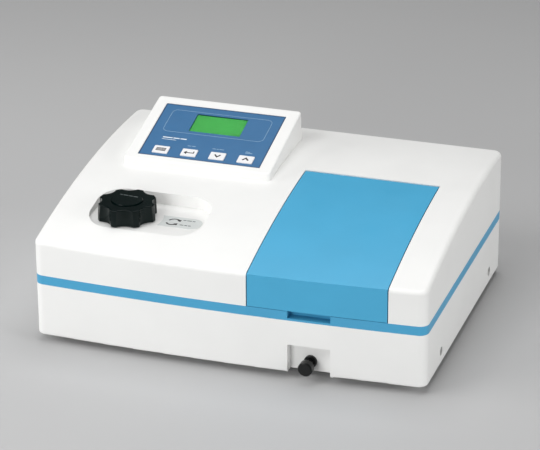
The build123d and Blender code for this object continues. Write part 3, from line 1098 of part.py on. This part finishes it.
FUSE_CAP_END = -ROD_KNOB_FRONT
FUSE_FLANGE_RADIUS, FUSE_CAP_RADIUS = 8.5, 7.0
GRIP_RADIUS, GRIP_COUNT = 1.0, 18
with BuildPart() as fuse_holder:
    flange_face = PLATE_OUTER + 2
    rod_y(FUSE_X, SOCKET_Z, PLATE_OUTER - 22, PLATE_OUTER, FUSE_RADIUS)
    rod_y(FUSE_X, SOCKET_Z, PLATE_OUTER, flange_face, FUSE_FLANGE_RADIUS)
    with BuildSketch(Plane.XZ.offset(-flange_face)):
        with Locations((FUSE_X, SOCKET_Z)):
            Circle(FUSE_CAP_RADIUS)
            with PolarLocations(FUSE_CAP_RADIUS + 0.6, GRIP_COUNT):
                Circle(GRIP_RADIUS, mode=Mode.SUBTRACT)
    extrude(amount=flange_face - FUSE_CAP_END)
    # screwdriver slot in the cap
    block(FUSE_X - 5, FUSE_X + 5, FUSE_CAP_END - 1.2, FUSE_CAP_END + 1, SOCKET_Z - 0.6, SOCKET_Z + 0.6,
          Mode.SUBTRACT)
finish(fuse_holder, "fuse_holder")

CONTACT_PITCH, CONTACT_RADIUS = 2.8, 0.5
CONTACT_ROWS = ((-1.4, 4), (1.4, 5))       # height and count of each row
JACKSCREW_X = 12.5
with BuildPart() as data_port:
    flange_face = PLATE_OUTER + 0.8
    socket_block(PORT_X, PORT_FLANGE, PLATE_OUTER, flange_face)
    socket_block(PORT_X, PORT_BODY, PLATE_OUTER - 9, PLATE_OUTER + 6)
    socket_block(PORT_X, PORT_MOUTH, PLATE_OUTER, PLATE_OUTER + 7, Mode.SUBTRACT)
    for row, count in CONTACT_ROWS:
        for index in range(count):
            x = PORT_X + (index - (count - 1) / 2) * CONTACT_PITCH
            rod_y(x, SOCKET_Z + row, PLATE_OUTER - 1, PLATE_OUTER + 1.2, CONTACT_RADIUS)
    for side in (-1, 1):
        with BuildSketch(Plane.XZ.offset(-flange_face)):
            with Locations((PORT_X + side * JACKSCREW_X, SOCKET_Z)):
                RegularPolygon(2.7, 6)
        extrude(amount=-4.5)
finish(data_port, "data_port")
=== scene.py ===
import bmesh
import bpy
import json
import math
from mathutils import Matrix, Vector


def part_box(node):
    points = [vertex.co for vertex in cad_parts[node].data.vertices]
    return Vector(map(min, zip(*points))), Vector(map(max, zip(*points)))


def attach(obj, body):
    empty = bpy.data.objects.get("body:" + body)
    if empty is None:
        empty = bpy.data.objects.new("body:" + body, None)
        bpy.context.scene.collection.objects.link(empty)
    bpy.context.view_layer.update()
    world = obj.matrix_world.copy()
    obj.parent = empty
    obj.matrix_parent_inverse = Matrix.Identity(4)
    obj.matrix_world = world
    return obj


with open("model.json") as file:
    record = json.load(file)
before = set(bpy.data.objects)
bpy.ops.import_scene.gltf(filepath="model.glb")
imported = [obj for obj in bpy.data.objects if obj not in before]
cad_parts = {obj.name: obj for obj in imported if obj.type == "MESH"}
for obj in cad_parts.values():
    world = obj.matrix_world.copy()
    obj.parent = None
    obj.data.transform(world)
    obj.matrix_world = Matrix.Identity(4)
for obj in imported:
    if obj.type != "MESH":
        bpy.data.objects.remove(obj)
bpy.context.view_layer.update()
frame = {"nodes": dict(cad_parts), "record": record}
nodes = frame["nodes"]
MM = 0.001


# ---------------------------------------------------------------- material building blocks
class Finish:
    """A new node material with its shader, and short ways to texture it in the object's own frame."""

    def __init__(self, name, colour, roughness, **sockets):
        """Sets the shader's uniform values. A socket's name has its spaces written as underscores."""
        self.material = bpy.data.materials.new(name)
        self.material.use_nodes = True
        self.tree = self.material.node_tree
        self.shader = self.tree.nodes["Principled BSDF"]
        self.shader.inputs["Base Color"].default_value = (*colour, 1.0)
        self.shader.inputs["Roughness"].default_value = roughness
        for socket, value in sockets.items():
            self.shader.inputs[socket.replace("_", " ")].default_value = value
        self.material.diffuse_color = (*colour, 1.0)
        self.colour = colour
        self.roughness = roughness
        self.normal = None
        self.place = self.node("ShaderNodeTexCoord").outputs["Object"]

    def node(self, kind, **values):
        """Adds a node of that kind and sets its properties."""
        made = self.tree.nodes.new(kind)
        for name, value in values.items():
            setattr(made, name, value)
        return made

    def link(self, source, target):
        """Joins an output to an input."""
        self.tree.links.new(source, target)

    def stretched(self, scale):
        """The object's coordinates, squeezed along each axis, for grain that runs one way."""
        mapping = self.node("ShaderNodeMapping")
        mapping.inputs["Scale"].default_value = scale
        self.link(self.place, mapping.inputs["Vector"])
        return mapping.outputs["Vector"]

    def noise(self, size, detail=2.0, vector=None):
        """Noise with blobs of about that size in metres."""
        made = self.node("ShaderNodeTexNoise")
        made.inputs["Scale"].default_value = 1.0 / size
        made.inputs["Detail"].default_value = detail
        self.link(vector or self.place, made.inputs["Vector"])
        return made.outputs["Fac"]

    def cells(self, size):
        """Distance to the nearest point of a scattered pattern, about that size in metres."""
        made = self.node("ShaderNodeTexVoronoi")
        made.inputs["Scale"].default_value = 1.0 / size
        self.link(self.place, made.inputs["Vector"])
        return made.outputs["Distance"]

    def spread(self, value, low, high, start=0.3, end=0.7):
        """Maps a texture value from start..end to low..high."""
        made = self.node("ShaderNodeMapRange")
        made.inputs["From Min"].default_value = start
        made.inputs["From Max"].default_value = end
        made.inputs["To Min"].default_value = low
        made.inputs["To Max"].default_value = high
        self.link(value, made.inputs["Value"])
        return made.outputs["Result"]

    def vary_roughness(self, value, amount):
        """Moves the roughness up and down by that amount with the texture value."""
        low, high = self.roughness - amount, self.roughness + amount
        self.link(self.spread(value, low, high), self.shader.inputs["Roughness"])

    def vary_colour(self, value, other, start=0.3, end=0.7):
        """Blends from the main colour to another one as the texture value rises."""
        mix = self.node("ShaderNodeMix", data_type="RGBA")
        mix.inputs["A"].default_value = (*self.colour, 1.0)
        mix.inputs["B"].default_value = (*other, 1.0)
        self.link(self.spread(value, 0.0, 1.0, start, end), mix.inputs["Factor"])
        self.link(mix.outputs["Result"], self.shader.inputs["Base Color"])

    def bump(self, value, depth, strength=1.0):
        """Relief of that depth in metres. Several are stacked one on the other."""
        made = self.node("ShaderNodeBump")
        made.inputs["Distance"].default_value = depth
        made.inputs["Strength"].default_value = strength
        self.link(value, made.inputs["Height"])
        if self.normal:
            self.link(self.normal, made.inputs["Normal"])
        self.normal = made.outputs["Normal"]
        self.link(self.normal, self.shader.inputs["Normal"])


def tinted(colour, factor):
    """The colour made darker (below 1) or lighter (above 1)."""
    return tuple(channel * factor for channel in colour)


def moulded(name, colour, roughness, grain=0.7 * MM, depth=0.03 * MM, wear=0.97, **sockets):
    """Injection-moulded plastic: fine spark texture, faint flow mottling, uneven polish."""
    finish = Finish(name, colour, roughness, **sockets)
    finish.vary_colour(finish.noise(60 * MM, detail=3.0), tinted(colour, wear))
    finish.vary_roughness(finish.noise(25 * MM, detail=4.0), 0.05)
    finish.bump(finish.noise(grain, detail=3.0), depth, strength=0.5)
    finish.bump(finish.noise(45 * MM, detail=1.0), 0.12 * MM, strength=0.25)
    return finish.material


def printed_film(name, colour, roughness, wear=0.94):
    """Screen-printed polyester: smooth, with a faint orange peel and cloudy ink."""
    finish = Finish(name, colour, roughness, Coat_Weight=0.15, Coat_Roughness=0.25)
    finish.vary_colour(finish.noise(22 * MM, detail=3.0), tinted(colour, wear))
    finish.vary_roughness(finish.noise(9 * MM), 0.04)
    finish.bump(finish.noise(1.6 * MM, detail=1.0), 0.012 * MM, strength=0.4)
    return finish.material


# How a brushed finish squeezes the coordinates. Its scratches run along the axis with the small factor.
ALONG_X = (0.03, 1.0, 1.0)
ALONG_Y = (1.0, 0.03, 1.0)
ALONG_Z = (1.0, 1.0, 0.1)


def brushed(name, colour, roughness, run=ALONG_Y):
    """Metal with fine parallel scratches."""
    finish = Finish(name, colour, roughness, Metallic=1.0)
    grain = finish.noise(0.5 * MM, detail=4.0, vector=finish.stretched(run))
    finish.vary_colour(finish.noise(8 * MM, vector=finish.stretched(run)), tinted(colour, 0.86))
    finish.vary_roughness(grain, 0.08)
    finish.bump(grain, 0.012 * MM, strength=0.5)
    return finish.material


def cast_metal(name, colour, roughness):
    """Sand-cast or die-cast surface with shallow pits."""
    finish = Finish(name, colour, roughness, Metallic=1.0)
    finish.vary_colour(finish.noise(12 * MM, detail=5.0), tinted(colour, 0.78))
    finish.vary_roughness(finish.noise(4 * MM, detail=3.0), 0.1)
    finish.bump(finish.noise(1.1 * MM, detail=5.0), 0.1 * MM, strength=0.6)
    finish.bump(finish.cells(3.0 * MM), 0.04 * MM, strength=0.3)
    return finish.material


def powder_coat(name, colour, roughness):
    """Baked paint with an orange-peel skin."""
    finish = Finish(name, colour, roughness)
    finish.vary_colour(finish.noise(30 * MM, detail=3.0), tinted(colour, 1.25))
    finish.vary_roughness(finish.noise(6 * MM, detail=3.0), 0.07)
    finish.bump(finish.cells(0.9 * MM), 0.05 * MM, strength=0.6)
    return finish.material


def elastic(name, colour, roughness, pore=0.9 * MM, depth=0.06 * MM):
    """Rubber or foam: matt, dusty in patches, with open pores."""
    finish = Finish(name, colour, roughness, Sheen_Weight=0.15)
    finish.vary_colour(finish.noise(14 * MM, detail=4.0), tinted(colour, 1.6))
    finish.vary_roughness(finish.noise(5 * MM), 0.05)
    finish.bump(finish.cells(pore), depth, strength=0.7)
    return finish.material


def clear(name, colour, roughness, index=1.49):
    """Clear plastic or glass with slight smears."""
    finish = Finish(name, colour, roughness, Transmission_Weight=1.0, IOR=index)
    finish.vary_roughness(finish.noise(7 * MM, detail=4.0), 0.015)
    finish.bump(finish.noise(18 * MM, detail=1.0), 0.01 * MM, strength=0.3)
    return finish.material


def silvered(name, colour, roughness):
    """Aluminised glass with a trace of haze."""
    finish = Finish(name, colour, roughness, Metallic=1.0)
    finish.vary_roughness(finish.noise(5 * MM, detail=4.0), 0.02)
    finish.vary_colour(finish.noise(11 * MM), tinted(colour, 0.95))
    return finish.material


def lit_display(name, colour, roughness, glow=0.22, wire_scale=350.0):
    """Backlit liquid crystal: it glows in its own colour, a little cloudy, with fine upright wires."""
    finish = Finish(name, colour, roughness, Emission_Strength=glow)
    finish.vary_colour(finish.noise(35 * MM), tinted(colour, 0.88))
    finish.shader.inputs["Emission Color"].default_value = (*colour, 1.0)
    wires = finish.node("ShaderNodeTexWave", wave_type="BANDS", bands_direction="X")
    wires.inputs["Scale"].default_value = wire_scale
    finish.link(finish.place, wires.inputs["Vector"])
    finish.bump(wires.outputs["Fac"], 0.01 * MM, strength=0.3)
    return finish.material


def board(name, colour, roughness, track_scale=160.0, track_width=0.06):
    """Solder mask over copper tracks."""
    finish = Finish(name, colour, roughness, Coat_Weight=0.2)
    tracks = finish.node("ShaderNodeTexBrick", offset=0.35, squash=0.6)
    tracks.inputs["Scale"].default_value = track_scale
    tracks.inputs["Mortar Size"].default_value = track_width
    finish.link(finish.place, tracks.inputs["Vector"])
    finish.vary_colour(tracks.outputs["Fac"], tinted(colour, 1.9), start=0.0, end=1.0)
    finish.bump(tracks.outputs["Fac"], 0.04 * MM, strength=0.6)
    finish.vary_roughness(finish.noise(6 * MM), 0.05)
    return finish.material


# ---------------------------------------------------------------- one material for each slot of the record
WHITE = (0.86, 0.86, 0.845)
LID_BLUE = (0.066, 0.39, 0.635)
BAND_BLUE = (0.066, 0.36, 0.60)
PANEL_BLUE = (0.046, 0.158, 0.33)
KEY_WHITE = (0.84, 0.84, 0.85)
DISPLAY_GREEN = (0.078, 0.56, 0.110)
ROD_BLACK = (0.005, 0.0055, 0.0055)
KNOB_BLACK = (0.0008, 0.0045, 0.0042)
LABEL_GREY = (0.70, 0.73, 0.72)

# Each is given its name, colour and roughness, then what differs from its kind's usual values.
finishes = {
    "white_plastic": moulded("white_plastic", WHITE, 0.46),
    "blue_plastic": moulded("blue_plastic", LID_BLUE, 0.42, grain=0.6 * MM, depth=0.02 * MM, wear=0.95),
    "band_plastic": moulded("band_plastic", BAND_BLUE, 0.40, grain=0.6 * MM, depth=0.02 * MM, wear=0.95),
    "panel_print": printed_film("panel_print", PANEL_BLUE, 0.36),
    "key_plastic": printed_film("key_plastic", KEY_WHITE, 0.38, wear=0.97),
    "display_green": lit_display("display_green", DISPLAY_GREEN, 0.5),
    "clear_plastic": clear("clear_plastic", (0.97, 1.0, 0.97), 0.04),
    "black_plastic": moulded("black_plastic", ROD_BLACK, 0.34, grain=0.5 * MM, depth=0.02 * MM, wear=1.5,
                             Specular_IOR_Level=0.35),
    "knob_plastic": moulded("knob_plastic", KNOB_BLACK, 0.24, grain=0.6 * MM, depth=0.012 * MM, wear=1.4,
                            Specular_IOR_Level=0.2),
    "label_print": printed_film("label_print", LABEL_GREY, 0.45),
    "rubber": elastic("rubber", (0.02, 0.02, 0.021), 0.75),
    "foam": elastic("foam", (0.02, 0.02, 0.023), 0.85, pore=0.7 * MM, depth=0.15 * MM),
    "steel": brushed("steel", (0.56, 0.57, 0.58), 0.30),
    "painted_steel": powder_coat("painted_steel", (0.030, 0.031, 0.034), 0.48),
    "cast_aluminium": cast_metal("cast_aluminium", (0.56, 0.56, 0.57), 0.48),
    "aluminium": brushed("aluminium", (0.70, 0.71, 0.72), 0.34, run=ALONG_X),
    "brass": brushed("brass", (0.74, 0.55, 0.24), 0.28, run=ALONG_Z),
    "optical_glass": clear("optical_glass", (0.95, 0.98, 1.0), 0.02, index=1.52),
    "mirror_glass": silvered("mirror_glass", (0.90, 0.90, 0.92), 0.04),
    "circuit_board": board("circuit_board", (0.02, 0.16, 0.06), 0.40),
    "ceramic": moulded("ceramic", (0.78, 0.75, 0.69), 0.55, grain=1.2 * MM, depth=0.05 * MM),
    "transformer_iron": cast_metal("transformer_iron", (0.10, 0.095, 0.09), 0.55),
}
ink_light = printed_film("ink_light", (0.34, 0.50, 0.66), 0.45)
# Dark navy ink, used only for the painted shade along the keypad panel's edge.
painted_edge_shade_ink = printed_film("painted_edge_shade_ink", (0.015, 0.045, 0.11), 0.45, wear=1.2)
ink_white = printed_film("ink_white", (0.80, 0.86, 0.90), 0.45)
ink_dark = printed_film("ink_dark", (0.012, 0.010, 0.012), 0.5, wear=1.3)
ink_grey = printed_film("ink_grey", (0.12, 0.14, 0.14), 0.5, wear=1.2)

for part in frame["record"]["subparts"]:
    mesh = nodes[part["node"]].data
    mesh.materials.clear()
    mesh.materials.append(finishes[part["material_slot"]])


# ---------------------------------------------------------------- printed marks, in millimetres
PRINT_THICK = 0.08
PRINT_LIFT = 0.01     # clear of the surface, so that the two don't share a face
SHARPEST_MITRE = 0.5  # cosine that limits how far a corner's outside runs out


def arc(centre, radius, start, end, steps=18):
    """Points on an arc, from one angle in degrees to another."""
    angles = [math.radians(start + (end - start) * i / steps) for i in range(steps + 1)]
    return [(centre[0] + radius * math.cos(a), centre[1] + radius * math.sin(a)) for a in angles]


def rounded_frame(left, right, bottom, top, radius):
    """Closed outline of a rectangle with round corners."""
    centres = ((right - radius, top - radius), (left + radius, top - radius),
               (left + radius, bottom + radius), (right - radius, bottom + radius))
    points = []
    for quarter, centre in enumerate(centres):
        points += arc(centre, radius, 90 * quarter, 90 * (quarter + 1), steps=8)
    return points


def stroke(bm, points, width, place, closed=False):
    """Adds a thin solid line of that width along flat points, laid on a plane."""
    count = len(points)
    rows = []
    for i, point in enumerate(points):
        before = points[i - 1] if closed or i else point
        after = points[(i + 1) % count] if closed or i < count - 1 else point
        into = (Vector(point) - Vector(before)).normalized() if before != point else None
        out = (Vector(after) - Vector(point)).normalized() if after != point else None
        along = ((into or out) + (out or into)).normalized()
        mitre = max(along.dot(into or out), SHARPEST_MITRE)
        across = Vector((-along.y, along.x)) * width / 2 / mitre
        edge = [Vector(point) - across, Vector(point) + across]
        heights = (PRINT_LIFT, PRINT_LIFT + PRINT_THICK)
        row = [place @ (Vector((p.x, p.y, height)) * MM) for height in heights for p in edge]
        rows.append([bm.verts.new(p) for p in row])
    pairs = list(zip(rows, rows[1:] + rows[:1]))
    for a, b in pairs if closed else pairs[:-1]:
        for i, j in ((0, 1), (1, 3), (3, 2), (2, 0)):
            bm.faces.new((a[i], a[j], b[j], b[i]))
    if not closed:
        bm.faces.new([rows[0][i] for i in (0, 2, 3, 1)])
        bm.faces.new([rows[-1][i] for i in (0, 1, 3, 2)])


def printed(name, lines, place, material, body):
    """One piece of print: a list of (points, width, closed) lines on a plane, riding on a body."""
    bm = bmesh.new()
    for points, width, closed in lines:
        stroke(bm, points, width, place, closed)
    bmesh.ops.recalc_face_normals(bm, faces=bm.faces)
    mesh = bpy.data.meshes.new(name)
    bm.to_mesh(mesh)
    bm.free()
    piece = bpy.data.objects.new(name, mesh)
    bpy.context.scene.collection.objects.link(piece)
    mesh.materials.append(material)
    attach(piece, body)


def dashes(*rows, gap=1.0):
    """Rows of short bars. A row is its start point, the lengths of its bars and the width of its line."""
    lines = []
    for (x, y), lengths, width in rows:
        for length in lengths:
            lines.append(([(x, y), (x + length, y)], width, False))
            x += length + gap
    return lines


def on_top(node, across=0.5):
    """Level plane on top of a node: origin at that share of its width, in the middle of its depth."""
    low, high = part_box(node)
    return Matrix.Translation((low.x + across * (high.x - low.x), (low.y + high.y) / 2, high.z))


CONSOLE_TILT = math.radians(13.5)


def on_console(node):
    """Plane on top of a node of the tilted console: origin in the middle of its top face."""
    turn = Matrix.Rotation(CONSOLE_TILT, 4, "X")
    local = [turn.inverted() @ v.co for v in nodes[node].data.vertices]
    middle = Vector([(min(v[i] for v in local) + max(v[i] for v in local)) / 2 for i in range(3)])
    middle.z = max(v.z for v in local)
    return Matrix.Translation(turn @ middle) @ turn


# Print on the panel: a light frame round the display, a heading and captions over the keys, and painted
# shade: a dark line round the panel's edge that stands in for the shadow of its recess.
panel = on_console("keypad_panel")
FRAME_LINE, EDGE_SHADE_LINE, HEADING_LINE, FINE_LINE, CAPTION_LINE = 0.35, 0.9, 1.5, 0.6, 0.8
DISPLAY_FRAME = rounded_frame(left=-57.0, right=57.0, bottom=-2.0, top=38.5, radius=6.0)
PANEL_EDGE_SHADE = rounded_frame(left=-67.8, right=67.8, bottom=-47.5, top=47.5, radius=1.0)
HEADING_X, HEADING_Y, UNDERLINE_Y = -52.0, -13.2, -16.6
MODE_X, ENTER_X, ARROWS_X = -20.0, 8.0, 45.0
CAPTION_Y, ARROWS_LOW_Y, ARROWS_HIGH_Y = -24.0, -24.6, -22.6

printed("panel_line", [(DISPLAY_FRAME, FRAME_LINE, True)], panel, ink_light, "case")
# Painted shade: a dark line round the panel's edge, in place of the shadow the recessed panel's edge
# throws.
printed("panel_edge_shade", [(PANEL_EDGE_SHADE, EDGE_SHADE_LINE, True)], panel, painted_edge_shade_ink, "case")
printed("panel_marks",
        dashes(((HEADING_X, HEADING_Y), (11, 7, 7), HEADING_LINE),
               ((HEADING_X, UNDERLINE_Y), (16,), FINE_LINE)),
        panel, ink_white, "case")
printed("key_captions",
        dashes(((MODE_X, CAPTION_Y), (4, 4), CAPTION_LINE),
               ((ENTER_X, CAPTION_Y), (4, 2, 5), CAPTION_LINE),
               ((ARROWS_X, ARROWS_LOW_Y), (8,), CAPTION_LINE),
               ((ARROWS_X, ARROWS_HIGH_Y), (5,), CAPTION_LINE)),
        panel, ink_light, "case")

# Key symbols: a list sign, a return arrow and two chevrons. Each rides on the body of its own key.
SYMBOL_LINE, CHEVRON_LINE = 1.2, 1.7
LIST_HALF, LIST_ROWS = 5.5, (-2.0, 0.0, 2.0)
RETURN_SHAFT = [(5.0, 2.4), (5.0, -0.6), (-4.6, -0.6)]
RETURN_HEAD = [(-2.6, 1.5), (-5.0, -0.6), (-2.6, -2.7)]
CHEVRON_DOWN = [(-3.2, 1.9), (0.0, -1.9), (3.2, 1.9)]
CHEVRON_UP = [(x, -y) for x, y in CHEVRON_DOWN]

key_symbols = {
    "mode_key": [([(-LIST_HALF, y), (LIST_HALF, y)], SYMBOL_LINE, False) for y in LIST_ROWS],
    "enter_key": [(RETURN_SHAFT, SYMBOL_LINE, False), (RETURN_HEAD, SYMBOL_LINE, False)],
    "down_key": [(CHEVRON_DOWN, CHEVRON_LINE, False)],
    "up_key": [(CHEVRON_UP, CHEVRON_LINE, False)],
}
for key, lines in key_symbols.items():
    button = key.replace("key", "button")
    printed(key + "_mark", lines, on_console(key), ink_dark, button)

# Print on the direction label, measured from the middle of its left edge: two curved arrows and two rows.
label = on_top("direction_label", across=0.0)
ARROW_RADIUS, ARROW_LINE, HEAD_LENGTH, HEAD_SPREAD = 6.0, 1.7, 3.0, 35
ROWS_X, ROW_HIGH_Y, ROW_LOW_Y, ROW_LINE = 24.0, 6.5, -5.5, 1.6


def turn_arrow(centre, start, end):
    """Curved arrow with its head at the end angle."""
    shaft = arc(centre, ARROW_RADIUS, start, end)
    tip = Vector(shaft[-1])
    back = (Vector(shaft[-3]) - tip).normalized() * HEAD_LENGTH
    barbs = [tip + Matrix.Rotation(math.radians(a), 2) @ back for a in (HEAD_SPREAD, -HEAD_SPREAD)]
    head = [tuple(barbs[0]), tuple(tip), tuple(barbs[1])]
    return [(shaft, ARROW_LINE, False), (head, ARROW_LINE, False)]


printed("label_arrows",
        turn_arrow(centre=(15.5, 1.0), start=165, end=20)
        + turn_arrow(centre=(14.5, -1.5), start=200, end=335),
        label, ink_dark, "case")
printed("label_marks",
        dashes(((ROWS_X, ROW_HIGH_Y), (3, 5, 3), ROW_LINE), ((ROWS_X, ROW_LOW_Y), (4, 3, 3), ROW_LINE)),
        label, ink_grey, "case")

# One slightly turned row on the knob's cap.
CAP_ROW_START, CAP_ROW_LINE, CAP_ROW_GAP = (-12.5, 9.0), 1.1, 1.2
CAP_ROW_TURN = Matrix.Rotation(math.radians(-6), 4, "Z")

printed("knob_mark", dashes((CAP_ROW_START, (3, 5, 4, 5), CAP_ROW_LINE), gap=CAP_ROW_GAP),
        on_top("knob_cap") @ CAP_ROW_TURN, ink_grey, "knob_group")


# ---------------------------------------------------------------- floor, light and camera, in metres
FLOOR_GREY = (0.49, 0.49, 0.49)
FLOOR_SHADE = (0.48, 0.48, 0.482)
LIT_POINT = (0.0, 0.0, 0.08)  # what the lamps are turned to: the middle of the object


def floor_finish():
    """Plain matt paper with hardly any mottling."""
    finish = Finish("studio_floor", FLOOR_GREY, 0.8)
    finish.vary_colour(finish.noise(0.4), FLOOR_SHADE)
    finish.vary_roughness(finish.noise(0.2), 0.04)
    return finish.material


def studio_floor(half_width, front, rear, rise, bend):
    """A sweep: flat under the object, curving up into a wall behind it."""
    profile = [(front, 0.0), (rear, 0.0)]
    for degrees in range(10, 91, 10):
        angle = math.radians(degrees)
        profile.append((rear + bend * math.sin(angle), bend * (1 - math.cos(angle))))
    profile.append((rear + bend, rise))
    bm = bmesh.new()
    rows = [[bm.verts.new((x, y, z)) for x in (-half_width, half_width)] for y, z in profile]
    for a, b in zip(rows, rows[1:]):
        bm.faces.new((a[0], a[1], b[1], b[0]))
    mesh = bpy.data.meshes.new("studio_floor")
    bm.to_mesh(mesh)
    bm.free()
    for face in mesh.polygons:
        face.use_smooth = True
    floor = bpy.data.objects.new("studio_floor", mesh)
    bpy.context.scene.collection.objects.link(floor)
    mesh.materials.append(floor_finish())


def soft_light(name, place, size, power, mirrored):
    """Square softbox that faces the object. A fill that isn't mirrored leaves no glare on glossy faces."""
    lamp = bpy.data.lights.new(name, "AREA")
    lamp.shape = "SQUARE"
    lamp.size = size
    lamp.energy = power
    holder = bpy.data.objects.new(name, lamp)
    bpy.context.scene.collection.objects.link(holder)
    holder.visible_glossy = mirrored
    holder.location = place
    holder.rotation_euler = (Vector(LIT_POINT) - Vector(place)).to_track_quat("-Z", "Y").to_euler()


def photo_camera(yaw, pitch, roll, distance, target, lens, sensor=36.0, reach=50.0):
    """Camera that looks at a target from angles in degrees, with its lens and sensor in millimetres."""
    yaw, pitch, roll = (math.radians(a) for a in (yaw, pitch, roll))
    back = Vector((math.sin(yaw) * math.cos(pitch), -math.cos(yaw) * math.cos(pitch), math.sin(pitch)))
    camera = bpy.data.objects.new("camera", bpy.data.cameras.new("camera"))
    bpy.context.scene.collection.objects.link(camera)
    camera.data.sensor_width = sensor
    camera.data.lens = lens
    camera.data.clip_end = reach
    turn = back.to_track_quat("Z", "Y").to_matrix() @ Matrix.Rotation(roll, 3, "Z")
    camera.matrix_world = Matrix.Translation(Vector(target) + back * distance) @ turn.to_4x4()
    bpy.context.scene.camera = camera


SKY_COLOUR, SKY_STRENGTH = (0.90, 0.95, 1.0, 1.0), 0.03
lights = {  # place, side of the square, watts, and whether glossy faces mirror it
    "key": ((-1.0, -1.1, 1.5), 0.9, 12.0, True),
    "overhead": ((0.0, 0.3, 2.2), 1.6, 28.0, True),
    "left_fill": ((-2.0, -0.5, 0.8), 1.0, 17.0, False),
    "front_fill": ((-0.3, -2.2, 0.6), 1.0, 22.5, False),
    "right_fill": ((2.0, -0.35, 0.6), 1.0, 20.0, False),
}

studio_floor(half_width=6.0, front=-6.0, rear=2.6, rise=4.0, bend=1.0)
for name, (place, size, power, mirrored) in lights.items():
    soft_light(name, place, size, power, mirrored)
world = bpy.data.worlds.new("studio")
bpy.context.scene.world = world
world.use_nodes = True
world.node_tree.nodes["Background"].inputs["Color"].default_value = SKY_COLOUR
world.node_tree.nodes["Background"].inputs["Strength"].default_value = SKY_STRENGTH
bpy.context.scene.view_settings.view_transform = "Standard"
photo_camera(yaw=18.118, pitch=24.023, roll=-0.316, distance=2.9363, target=(-0.00299, 0.0, 0.09428),
             lens=185.12)
